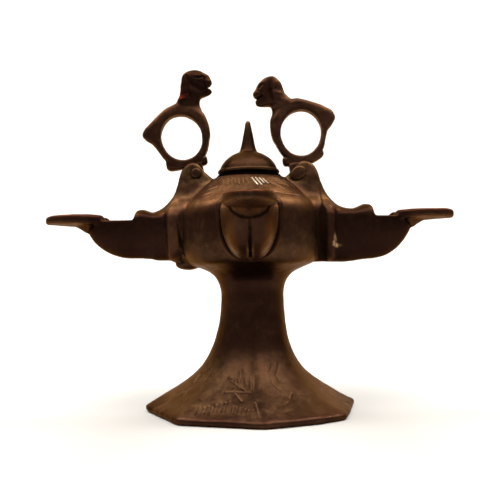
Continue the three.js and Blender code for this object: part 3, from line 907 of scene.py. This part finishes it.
def darkShadeOn(points):
    # painted shade on the nozzle walls and the stem, and a painted shadow of the front nozzle on the stem's
    # neck
    z = points[:, 2]
    radius = np.hypot(points[:, 0], points[:, 1])
    soot = 0.3 * smoothStep(z, 40, 52) * (1 - smoothStep(z, 72, 77)) * (radius < 30)
    neck = (1 - smoothStep(np.abs(points[:, 0] - 1), 9.5, 12.5)) * (points[:, 1] < 0) * (radius < 34)
    soot = np.maximum(soot, 0.9 * neck * smoothStep(z, 68.5, 71) * (1 - smoothStep(z, 79, 81)))
    for name, share in nozzle["soot"].items():
        x, y, z = inNozzle(points, name)
        start = 45.4 + nozzle["collarShift"][name]
        wall = smoothStep(x, start, start + 1.5) * (1 - smoothStep(x, 84, 90)) * (np.abs(y) < 16)
        soot = np.maximum(soot, share * wall)
    return soot


# how strongly wear and painted light turn each place golden
wornAndLit = {"shoulder": 0.22, "brackets": 0.5, "bottom": 0.25, "flare": 0.22}


def wornAndLitOn(points):
    # shoulder, brackets, the bowl's round bottom and the flare are painted golden: partly wear, partly
    # painted light from above on shoulder and flare (more on the left) and a painted reflection of the floor
    # on the bowl's bottom
    x, y, z = points.T
    radius = np.hypot(x, y)
    shoulder = smoothStep(z, 108, 111) * (1 - smoothStep(z, 123, 125)) * (radius < 44)
    brackets = (np.abs(y) < 9) * (np.abs(x) > 20) * (z > 122)
    bottom = smoothStep(z, 79, 83) * (1 - smoothStep(z, 90, 97)) * (radius < 40)
    flare = smoothStep(z, 3.5, 7) * (1 - smoothStep(z, 24, 40)) * (1 + 0.8 * smoothStep(-x, 8, 25))
    return np.maximum.reduce([wornAndLit["shoulder"] * shoulder, wornAndLit["brackets"] * brackets,
                              wornAndLit["bottom"] * bottom, wornAndLit["flare"] * flare])


def rustOn(points):
    # the plates are redder along the top of their edges
    rust = np.zeros(len(points))
    for side in nozzle["turns"]:
        x, y, z = inNozzle(points, side)
        rust = np.maximum(rust, 0.75 * smoothStep(x, 78, 84) * smoothStep(z, 105, 106.2) * (np.abs(y) < 14))
    return rust


footSwell = {
    # angle from +X and millimetres outwards, at the rim
    "rim": [(-180, 0), (-100, 0), (-85, 0.2), (-80, 0.8), (-74, 1.8), (-62, 3.2), (-53, 3.6), (-41, 2.6),
            (-35, 1.8), (-18, 0.7), (0, -1.2), (5, -2), (12, -2), (30, -1), (50, 0), (180, 0)],
    # height and millimetres outwards, on the left and on the right
    "left": [(0, 0.5), (3, 1), (5.2, 2.6), (8.5, 3.4), (12, 3.2), (18, 2.6), (21, 2.2), (31, 2.2), (34, 1.9),
             (41, 1.1), (47, 0.4), (54, 0), (62, -0.6), (70, 0)],
    "right": [(0, 0), (12, 0), (20, 0.6), (27, 0.9), (34, 1.4), (41, 1.4), (63, 1.15), (72, 1.3), (80, 0.5),
              (84, 0)],
}


def settleFoot(obj):
    # the hand-made foot swells out unevenly
    mesh = obj.data
    points = places(mesh)
    radius = np.hypot(points[:, 0], points[:, 1])
    turn = np.degrees(np.arctan2(points[:, 1], points[:, 0]))
    angles, amounts = np.array(footSwell["rim"], float).T
    swell = np.interp(turn, angles, amounts) * (1 - smoothStep(points[:, 2], 2, 11))
    for side, angle in (("left", 180), ("right", 0)):
        off = (turn - angle + 180) % 360 - 180
        heights, amounts = np.array(footSwell[side], float).T
        swell += np.exp(-(off / 42) ** 2) * np.interp(points[:, 2], heights, amounts)
    swell *= np.clip(radius / 10, 0, 1)
    points[:, 0] = (radius + swell) * np.cos(turn * degree)
    points[:, 1] = (radius + swell) * np.sin(turn * degree)
    setPlaces(mesh, points)


def wobbleRim(obj):
    # the foot's rim is uneven
    mesh = obj.data
    points = places(mesh)
    low = np.flatnonzero((points[:, 2] < 7) & (np.hypot(points[:, 0], points[:, 1]) > 45))
    for i in low:
        x, y, z = points[i]
        wave = noise.noise(Vector((x, y, 0)) / 11) + 0.5 * noise.noise(Vector((x, y, 0)) / 4)
        share = 1 - smoothStep(z, 2, 7)
        points[i, :2] *= 1 + 0.008 * wave * share
        points[i, 2] += 0.45 * wave * share * smoothStep(z, 0.6, 2.6)
    setPlaces(mesh, points)


def formsAt(sides, *draws):
    pairs = [(draw, side) for side in sides for draw in draws]
    return [formObject("form", lambda bm: draw(bm, side)) for draw, side in pairs]


def drawCasting():
    obj = formObject("lampCasting", drawVessel)
    solids = [formObject("form", drawLump)]
    solids += formsAt(nozzle["turns"], drawTrough, drawFacet, drawCollar, drawPlate)
    solids += formsAt(hinges, drawBracket, drawHip)
    combine(obj, solids, "UNION")
    cuts = [formObject("form", drawFootHollow), formObject("form", drawReservoirHollow)]
    cuts += formsAt(nozzle["turns"], drawRoofedChannel, drawOpenChannel, drawRecess)
    cuts += formsAt(hinges, drawSlot, drawBore)
    combine(obj, cuts, "DIFFERENCE")
    print("casting joined and hollowed:", len(obj.data.polygons), "faces")
    fuse(obj, casting["voxel"], 6)
    # the brackets flow into shoulder and collars, and their slots stay as they are
    spots = places(obj.data)
    side, across, z = np.abs(spots[:, 0]), np.abs(spots[:, 1]), spots[:, 2]
    base = smoothStep(side, 21, 26) * (1 - smoothStep(side, 48, 53)) * smoothStep(z, 104.5, 108)
    top = np.where(across > 5.6, 126, 121)
    ease(obj, base * (1 - smoothStep(z, top - 3, top)), 140)
    print("casting fused:", len(obj.data.polygons), "faces")
    return obj


# broken out of the foot's front corner
chip = {"line": [(5, -58, 3.6), (5.3, -58.2, 0.8)], "halfWidth": 0.9, "depth": 0.8}
# pale, beside the right collar
drip = [[(45.1, 0, 93), (45.3, 0, 90.6)], [(44.7, 0, 89.8), (46.3, 0, 88)],
        [(44.6, 0, 88.4), (46.4, 0, 87.8)]]

lampCasting = drawCasting()
bright = strokesOn(onShoulder, engraving["bright"])
line = strokesOn(onShoulder, [engraving["line"]])
faint = strokesOn(onFoot, engraving["faint"])
strokes = strokesOn(onShoulder, engraving["shoulder"] + backBand()) + strokesOn(onFoot, engraving["foot"])
rootGrooves = {side: rootGroove(side) for side in nozzle["turns"]}
roughen(lampCasting, [(17, 0.35), (5, 0.10)])
wobbleRim(lampCasting)
carve(lampCasting, [chip["line"]], chip["halfWidth"], chip["depth"])
carve(lampCasting, [rootGrooves["front"], rootGrooves["back"]], 0.9, 0.5)
spots = places(lampCasting.data)
press(lampCasting, 0.8 * collarGap(spots) + 0.4 * nozzleShade(spots).clip(0, 1))
refineNear(lampCasting, strokes + bright + line + faint, 1.2)
carve(lampCasting, strokes + bright, engraving["halfWidth"], engraving["depth"])
carve(lampCasting, line + faint, 0.5, 0.5 * engraving["depth"])
thin(lampCasting, casting["most"])
print("casting engraved")

spots = places(lampCasting.data)
# painted shadow under the lid's rim
underLid = np.where(np.hypot(spots[:, 0], spots[:, 1]) < 19.8, (spots[:, 2] - 125.5) / 0.35, 0)
# near-black painted shade under the lid, in the collar gaps, between the lobes, round the rivets and along
# the nozzles' roots
blackShade = [underLid, collarGap(spots), nozzleShade(spots), rivetShade(spots)]
# painted shade along the roots of the nozzles
for side, strength in (("front", 1.2), ("back", 1.2), ("left", 0.25), ("right", 0.25)):
    blackShade.append(strength - strokeDistance(spots, [rootGrooves[side]]) / 1.1)
inFront = np.where(spots[:, 1] < -11, 1, 0)
marks = {
    # golden wear and painted light
    "wornAndLit": wornAndLitOn(spots),
    # painted shade and painted shadow
    "soot": darkShadeOn(spots),
    "rust": rustOn(spots),
    "etch": 0.32 * (1.6 - strokeDistance(spots, strokes) / 0.42),
    "blackShade": np.maximum.reduce(blackShade),
    "paleStroke": np.maximum(1.5 - strokeDistance(spots, bright) / 0.32,
                        0.65 - strokeDistance(spots, line) / 0.36),
    "drip": inFront * (1.5 - strokeDistance(spots * (1, 0, 1), drip) / 0.62),
}
for key, values in marks.items():
    setAttribute(lampCasting.data, key, values)
settleFoot(lampCasting)
finishPiece(lampCasting, "lamp", bronze("castBronze", castingLook),
            ["foot", "reservoir", "right_nozzle", "back_nozzle", "left_nozzle", "front_nozzle"])


# The lid

lid = {"radius": 16.8, "seat": 128.55, "tip": 157.7, "spigot": 11.5}


def drawLid(bm):
    seat, radius, spigot = lid["seat"], lid["radius"], lid["spigot"]
    inside = bezier((0, 137.9), (6, 137.9), (9.7, 135.4), (9.7, 131.9), 12)
    rim = [(9.7, 125.3), (10.2, 124.8), (11, 124.8), (spigot, 125.3), (spigot, seat), (14.2, seat),
           (radius - 0.6, seat), (radius, seat + 0.4), (radius + 0.1, seat + 1.1), (radius - 0.3, seat + 1.9)]
    groove = [(radius - 0.7, seat + 2.2), (radius - 1, seat + 2.2), (radius - 1.2, seat + 2.6)]
    dome = bezier((15.5, 131.4), (14.6, 134.6), (11, 138.4), (5.2, 140.4), 18)
    spire = bezier((4.8, 141), (3.8, 143.2), (3.3, 147), (1.5, 155.6), 20)
    tip = bezier((1.5, 155.6), (1.4, 157), (0.9, lid["tip"]), (0, lid["tip"]), 6)
    spinProfile(bm, inside + rim + groove + dome + spire + tip[1:], 120)


lidDome = formObject("lidDome", drawLid)
roughen(lidDome, [(9, 0.22), (3, 0.05)])
finishPiece(lidDome, "lamp", bronze("lidBronze", lidLook), ["lid"])


# The two animals, drawn facing +X with the pin at the origin

animal = {
    "ringCentre": (-5, 20.2),
    "hole": (12.5, 11.1, 102),  # half lengths and turn of the oval hole
    "holeLift": 0.8,
    "halfThickness": 4.1,
    # angle from the chest and distance of the outline from the ring's centre
    "outline": [(0, 15.7), (22, 16.8), (40, 18), (65, 18.6), (90, 19), (102, 18.3), (121, 18.2), (141, 19.1),
                (154, 20.6), (163, 20.7), (171, 18.6), (181, 15), (201, 13.9), (223, 14.6), (245, 15.4),
                (275, 15.8), (305, 15.6), (325, 15.1), (347, 14.9), (360, 15.7)],
    # x, bottom, top and half thickness of the feet, from the heel to the toes
    "feet": [(-15.9, 5.8, 9.4, 2.3), (-15, 4.6, 10.8, 3.4), (-13, 4, 10, 3.8), (-9.5, 4, 7.4, 3.8),
             (0, 4, 7.4, 3.8), (4.2, 4.2, 9.4, 3.8), (6.1, 4.5, 9.4, 3.4), (6.9, 5.6, 8.2, 2.3)],
    "tang": (7.8, 8.2, 11.5),
    "tangDrop": 0.15,
    "voxel": 0.36,
    "most": 90000,
}

leftHead = {
    "rise": 0.2,
    "ringShift": 0,
    "heel": 0,  # how far the heel's underside is raised
    "fill": 0.55,  # how much fuller the head is than its rows
    # angle from the chest and millimetres that the outline swells out
    "swell": [(0, 0), (30, 0), (40, 0.5), (44, 0.7), (53, 0.5), (97, 0.5), (103, 0.8), (110, 0.9), (117, 0.6),
              (130, 0.2), (150, 0), (156, 0.6), (165, 1.6), (170, 2.2), (175, 1.7), (181, 1.4), (188, 0.9),
              (212, 0.5), (245, 0), (360, 0)],
    # height, back, front and half thickness, from the neck to the top of the head
    "rows": [
        (34.2, -6.4, 8.3, 3.7), (36, -6.2, 7.9, 3.8), (38.3, -6, 7.7, 3.9), (39.6, -5.6, 7.8, 4),
        (40.4, -4.6, 8, 4.1), (41.5, -3.7, 8.7, 4.2), (42, -3.3, 10.4, 4.3), (42.4, -3.1, 12.8, 4.3),
        (42.9, -2.8, 14.1, 4.4), (43.8, -2.15, 14.9, 4.5), (45.1, -1.7, 14.2, 4.7), (46.3, -1.3, 13.6, 4.8),
        (47.4, -1, 14.7, 4.9), (48.9, -0.7, 15.5, 5), (50.1, -0.4, 15.3, 5.1), (51, -0.1, 15.1, 5.1),
        (52.4, 0.3, 14.7, 5), (53.6, 0.7, 13.3, 4.7), (54.6, 1.3, 11.9, 4.2), (55.4, 2.3, 10.6, 3.4),
        (55.9, 3.6, 9.6, 2.4), (56.3, 5.4, 8.6, 1.1),
    ],
    # lines of the face as points, half width, depth and depth of the shade; raised ones are below 0
    "lines": [
        ([(3, 53.6), (3.1, 50), (3.1, 46), (3.2, 42)], 0.7, 0.5, 0.3),
        ([(7.6, 51.8), (9.8, 51.4), (11.9, 52)], 0.45, 0.6, 0.8),
        ([(8.2, 52.7), (9.8, 52.5), (11.6, 52.9)], 0.7, -0.35, 0),
        ([(12.5, 51), (12.1, 49), (12.5, 47.2)], 0.55, 0.45, 0.3),
        ([(14, 49.1), (14.2, 48.9)], 1.3, -0.5, 0),
        ([(14.2, 46.1), (11.7, 45.5)], 0.55, 0.6, 0.9),
    ],
    # below this line the cheek falls back
    "cheek": [(3.4, 53.2), (6.2, 50.9), (9.2, 48.7), (11.8, 45.6)],
    "fall": 0.8,
    "soot": 0.8,
    # red strokes on the nape
    "dabs": [[(-3, 44.9), (0.5, 45.4)], [(-3, 43.5), (2.2, 43.7)], [(-3.4, 42.6), (1, 41.8)]],
}
rightHead = {
    "rise": 0.9,
    "ringShift": -0.6,
    "heel": 1.5,
    "fill": 0.75,
    "swell": [(0, 0.3), (22, 0.5), (40, 1.2), (65, 0.8), (90, 0.6), (121, 0.8), (146, 1.3), (154, 1),
              (163, 0.4), (170, -0.4), (200, -0.4), (221, 0), (347, 0.2), (360, 0.3)],
    "rows": [
        (34.2, -5.6, 8.3, 3.7), (36, -5.4, 8.1, 3.8), (38, -5.2, 8.2, 3.9), (39.4, -5, 8.5, 4),
        (39.9, -4.8, 9.8, 4.1), (40.3, -4.4, 13.4, 4.2), (40.8, -3.2, 14.9, 4.3), (42.2, -1.6, 15.5, 4.4),
        (43.3, -0.9, 15.2, 4.5), (44.3, -0.2, 14.8, 4.6), (45, 0.2, 15.1, 4.7), (45.7, 0.3, 15.7, 4.7),
        (47.3, 0.6, 16.1, 4.8), (48.1, 0.7, 15.5, 4.9), (49, 0.9, 14.6, 5), (50.5, 1.2, 13.7, 5),
        (52.1, 2.1, 12.5, 4.8), (53.2, 2.9, 10.9, 4.4), (54.1, 3.7, 9.1, 3.4), (54.6, 4.6, 7.6, 2.2),
        (54.8, 5.3, 6.6, 1.1),
    ],
    "lines": [
        ([(6.2, 53), (7.2, 50), (7.6, 47), (7, 42)], 1.7, 0.45, 0.75),
        ([(11.2, 51.3), (12.4, 50.7), (13, 49.9)], 0.55, 0.55, 0.8),
        ([(10.2, 52.4), (11, 51.9), (12, 51.8)], 0.7, -0.3, 0),
        ([(13.6, 48.4), (12.6, 47), (13, 45.8)], 0.5, 0.4, 0.3),
        ([(15.2, 44.3), (12.4, 45)], 0.55, 0.6, 0.9),
        ([(2.4, 44.8), (4.2, 45.4), (5.9, 45.8)], 0.9, -0.3, 0),
        ([(2.6, 43.6), (4.4, 44.1), (6.2, 44.4)], 0.5, 0.15, 0.2),
    ],
    "cheek": [(6, 48.4), (9, 47.6), (12, 46.4), (14.5, 45)],
    "fall": 0.5,
    "soot": 0.15,
    "dabs": [],
}


def holeRadius(around):
    # distance of the hole's wall from the ring's centre, at an angle from the chest
    across, high, turn = animal["hole"]
    off = around - turn * degree
    return 1 / np.hypot(np.cos(off) / across, np.sin(off) / high) + animal["holeLift"] * np.sin(around)


def drawRing(bm, own):
    centreX, centreZ = animal["ringCentre"]
    table = flowing(animal["outline"], 3.75)[:-1]
    angles, swell = np.array(own["swell"], float).T

    def place(row, angle):
        around = row[0] * degree
        outer, inner = row[1] + np.interp(row[0], angles, swell), holeRadius(around)
        thick = outer - inner
        half = min(animal["halfThickness"], 2.3 + 0.5 * thick)
        out, side = math.cos(angle), math.sin(angle)
        power = 0.7 if out > 0 else 0.35  # round outside, with an upright wall in the hole
        r = (outer + inner) / 2 + signedPower(out, power) * thick / 2
        y = signedPower(side, power) * half
        return Vector((centreX + own["ringShift"] + r * math.cos(around), y,
                       centreZ + own["rise"] + r * math.sin(around)))

    ringLoft(bm, table, 28, place, closed=True)


def drawHead(bm, own):
    def place(row, angle):
        z, back, front, half = row
        out, side = math.cos(angle), math.sin(angle)
        x = (front + back) / 2 + (front - back) / 2 * signedPower(out, 0.85)
        half *= 1 - 0.42 * smoothStep(x, 6, 15.5)  # narrower towards the nose
        return Vector((x, half * signedPower(side, 0.75), z))

    ringLoft(bm, flowing(own["rows"], 0.3), 48, place)
    blob(bm, (5 + own["ringShift"], 0, 33.6 + own["rise"]), (3.1, 3.7, 3.8), 32)  # chest


def drawFeet(bm, own):
    def place(row, angle):
        x, low, high, half = row
        out, side = math.cos(angle), math.sin(angle)
        low += own["heel"] * smoothStep(-x, 9, 15)
        z = (high + low) / 2 + (high - low) / 2 * signedPower(side, 0.6)
        return Vector((x, half * signedPower(out, 0.6), z + own["rise"]))

    ringLoft(bm, flowing(animal["feet"], 0.6), 28, place)


def drawTang(bm):
    place = Matrix.Translation((0, 0, -animal["tangDrop"])) @ Matrix.Diagonal((*animal["tang"], 1))
    bmesh.ops.create_cube(bm, size=1, matrix=place)


def below(points, line):
    # depth of every point under a line that falls towards +x
    at = np.array(line)
    return np.interp(points[:, 0], at[:, 0], at[:, 1]) - points[:, 2]


def upright(stroke):
    return [(x, 0, z) for x, z in stroke]


def fromHole(points, own):
    # distance from the ring's centre, angle there and distance of the hole's wall
    x = points[:, 0] - animal["ringCentre"][0] - own["ringShift"]
    z = points[:, 2] - animal["ringCentre"][1] - own["rise"]
    around = np.arctan2(z, x)
    return np.hypot(x, z), around, holeRadius(around)


def shapeFace(obj, own):
    mesh = obj.data
    lift = np.zeros(len(mesh.vertices))
    shade = np.zeros(len(mesh.vertices))
    points, facing = places(mesh), normals(mesh)
    flatPoints = points * (1, 0, 1)  # both sides alike
    sideways = np.abs(facing[:, 1])
    for line, halfWidth, depth, dark in own["lines"]:
        away = strokeDistance(flatPoints, [upright(line)])
        near = np.exp(-(away / halfWidth) ** 2)
        lift -= depth * near
        shade = np.maximum(shade, dark * near)
    drop = below(points, own["cheek"])
    fall = np.clip(drop / 0.9, 0, 1) * np.clip((8 - drop) / 4, 0, 1)
    fall *= np.clip((points[:, 0] - own["cheek"][0][0]) / 0.8, 0, 1) * (points[:, 2] > 38)
    lift -= own["fall"] * fall * sideways
    setPlaces(mesh, points + facing * lift[:, None])
    away, around, edge = fromHole(points, own)
    # painted shade in the face's lines and where the ring turns down into the hole
    overHole = np.exp(-((away - edge - 1) / 0.8) ** 2) * smoothStep(np.sin(around), 0.3, 0.8)
    setAttribute(mesh, "blackShade", np.maximum(0.8 * shade, 0.55 * overHole) * sideways)
    # painted shade on the head
    setAttribute(mesh, "soot", own["soot"] * smoothStep(points[:, 2], 36, 41))


def makeAnimal(name, side, own):
    obj = formObject(name, lambda bm: drawRing(bm, own))
    masses = [formObject("form", lambda bm: draw(bm, own)) for draw in (drawHead, drawFeet)]
    masses.append(formObject("form", drawTang))
    bm = bmesh.new()
    for part in [obj] + masses:
        bm.from_mesh(part.data)
    bm.to_mesh(obj.data)
    bm.free()
    for part in masses:
        bpy.data.objects.remove(part)
    fuse(obj, animal["voxel"], 5)
    spots = places(obj.data)
    away, _, edge = fromHole(spots, own)
    z = spots[:, 2]
    neck = smoothStep(away, edge + 1, edge + 3) * smoothStep(z, 31, 34) * (1 - smoothStep(z, 39, 42))
    ease(obj, neck, 60)
    press(obj, -own["fill"] * smoothStep(places(obj.data)[:, 2], 37, 42))
    combine(obj, [formObject("form", pinHole)], "DIFFERENCE")
    shapeFace(obj, own)
    roughen(obj, [(7, 0.22), (2.4, 0.05)])
    thin(obj, animal["most"])
    if own["dabs"]:
        spots = places(obj.data)
        painted = 1.3 - strokeDistance(spots * (1, 0, 1), map(upright, own["dabs"])) / 0.36
        setAttribute(obj.data, "dab", painted * (spots[:, 1] < 0))
    stand = atPin(side) @ Matrix.Rotation(-hinges[side]["lean"] * degree, 4, "Y")
    if side == "right":
        stand = stand @ Matrix.Rotation(math.pi, 4, "Z")
    obj.data.transform(stand)
    return obj


leftAnimal = makeAnimal("leftAnimal", "left", leftHead)
finishPiece(leftAnimal, "left_animal", bronze("leftAnimalBronze", animalLook),
            ["left_animal"])
rightAnimal = makeAnimal("rightAnimal", "right", rightHead)
finishPiece(rightAnimal, "right_animal", bronze("rightAnimalBronze", litAnimalLook),
            ["right_animal"])


# The hinge pins, headed on both sides

def drawRivet(bm, own):
    shank, radius, height = own["shank"], own["radius"], own["height"]
    seat = bracket["halfWidth"] + 0.05
    half = [(shank, seat), (radius - 0.15, seat), (radius, seat + 0.15), (radius - 0.05, seat + 0.4 * height),
            (0.82 * radius, seat + 0.75 * height), (0.5 * radius, seat + 0.95 * height), (0, seat + height)]
    spinProfile(bm, [(r, -y) for r, y in reversed(half)] + half, own["corners"], axis=(0, 1, 0))
    heads = [v for v in bm.verts if abs(v.co.y) > seat + 0.1 or math.hypot(v.co.x, v.co.z) > shank + 0.1]
    level = Matrix.Rotation(own["slant"] * degree, 3, "Y")
    bmesh.ops.rotate(bm, verts=heads, matrix=level)
    bmesh.ops.scale(bm, verts=heads, vec=(own["stretch"], 1, 1))
    bmesh.ops.rotate(bm, verts=heads, matrix=level.inverted())


for side, own in rivets.items():
    rivet = formObject(side + "Rivet", lambda bm: drawRivet(bm, own))
    shape = rivet.modifiers.new("round", "SUBSURF")
    shape.levels = shape.render_levels = 2
    shape.subdivision_type = "SIMPLE"
    soften = rivet.modifiers.new("soften", "SMOOTH")
    soften.iterations = 2
    bake(rivet)
    roughen(rivet, [(1.6, 0.14)])
    rivet.data.transform(atPin(side))
    finishPiece(rivet, "lamp", bronze(side + "RivetBronze", rivetLook),
                [side + "_hinge_pin"], 40)


# Floor, light and camera

stage = {
    "paper": (0.42, 0.415, 0.405),
    "width": 2.4,
    "front": -1.2,
    "back": 0.75,
    "bend": 0.4,
    "top": 0.85,
    "air": (1.0, 0.96, 0.91),
    # dim around, brighter overhead
    "ceiling": {"From Min": 0.2, "From Max": 1, "To Min": 0.05, "To Max": 1.5},
}


def drawSweep(bm):
    # a floor that bends up into a wall behind the lamp
    back, bend = stage["back"], stage["bend"]
    rows = [(stage["front"], 0)]
    rows += [(back + bend * math.sin(t), bend - bend * math.cos(t)) for t in np.linspace(0, math.pi / 2, 25)]
    rows += [(back + bend, stage["top"])]
    verts = [bm.verts.new((-stage["width"] / mm, y / mm, z / mm)) for y, z in rows]
    edges = [bm.edges.new(pair) for pair in zip(verts, verts[1:])]
    grown = bmesh.ops.extrude_edge_only(bm, edges=edges)["geom"]
    far = [g for g in grown if isinstance(g, bmesh.types.BMVert)]
    bmesh.ops.translate(bm, verts=far, vec=(2 * stage["width"] / mm, 0, 0))


sweep = formObject("paperSweep", drawSweep)
for polygon in sweep.data.polygons:
    polygon.use_smooth = True
paper = bpy.data.materials.new("palePaper")
paper.use_nodes = True
paper.node_tree.nodes["Principled BSDF"].inputs["Base Color"].default_value = (*stage["paper"], 1)
paper.node_tree.nodes["Principled BSDF"].inputs["Roughness"].default_value = 0.95
sweep.data.materials.append(paper)

world = bpy.data.worlds.new("studio")
world.use_nodes = True
sky = world.node_tree
toward = sky.nodes.new("ShaderNodeTexCoord").outputs["Generated"]
split = sky.nodes.new("ShaderNodeSeparateXYZ")
sky.links.new(toward, split.inputs["Vector"])
ceiling = sky.nodes.new("ShaderNodeMapRange")
for key, number in stage["ceiling"].items():
    ceiling.inputs[key].default_value = number
sky.links.new(split.outputs["Z"], ceiling.inputs["Value"])
sky.links.new(ceiling.outputs["Result"], sky.nodes["Background"].inputs["Strength"])
sky.nodes["Background"].inputs["Color"].default_value = (*stage["air"], 1)
scene.world = world


def softbox(name, spot, aim, size, power, colour):
    light = bpy.data.lights.new(name, "AREA")
    light.shape = "RECTANGLE"
    light.size, light.size_y = size
    light.energy = power
    light.color = colour
    obj = bpy.data.objects.new(name, light)
    obj.location = spot
    obj.rotation_euler = (Vector(aim) - Vector(spot)).to_track_quat("-Z", "Y").to_euler()
    scene.collection.objects.link(obj)


softbox("topLight", (0, -0.35, 1.0), (0, 0, 0.1), (1.5, 0.6), 15, (1.0, 0.94, 0.86))
for name, x in (("wallLightLeft", -0.7), ("wallLightRight", 0.7)):
    softbox(name, (x, 0.3, 1.1), (x / 2, 1.2, 0.2), (0.6, 0.6), 24, (1.0, 0.98, 0.95))

view = {"distance": 0.3905, "height": 0.0725, "roll": -1.1, "lens": 51.1, "shift": (-0.0015, 0.052)}
camera = bpy.data.cameras.new("camera")
camera.lens = view["lens"]
camera.shift_x, camera.shift_y = view["shift"]
camera.clip_start = 0.01
eye = bpy.data.objects.new("camera", camera)
eye.matrix_world = (Matrix.Translation((0, -view["distance"], view["height"]))
                    @ Matrix.Rotation(math.pi / 2, 4, "X") @ Matrix.Rotation(view["roll"] * degree, 4, "Z"))
scene.collection.objects.link(eye)
scene.camera = eye
scene.view_settings.view_transform = "Standard"
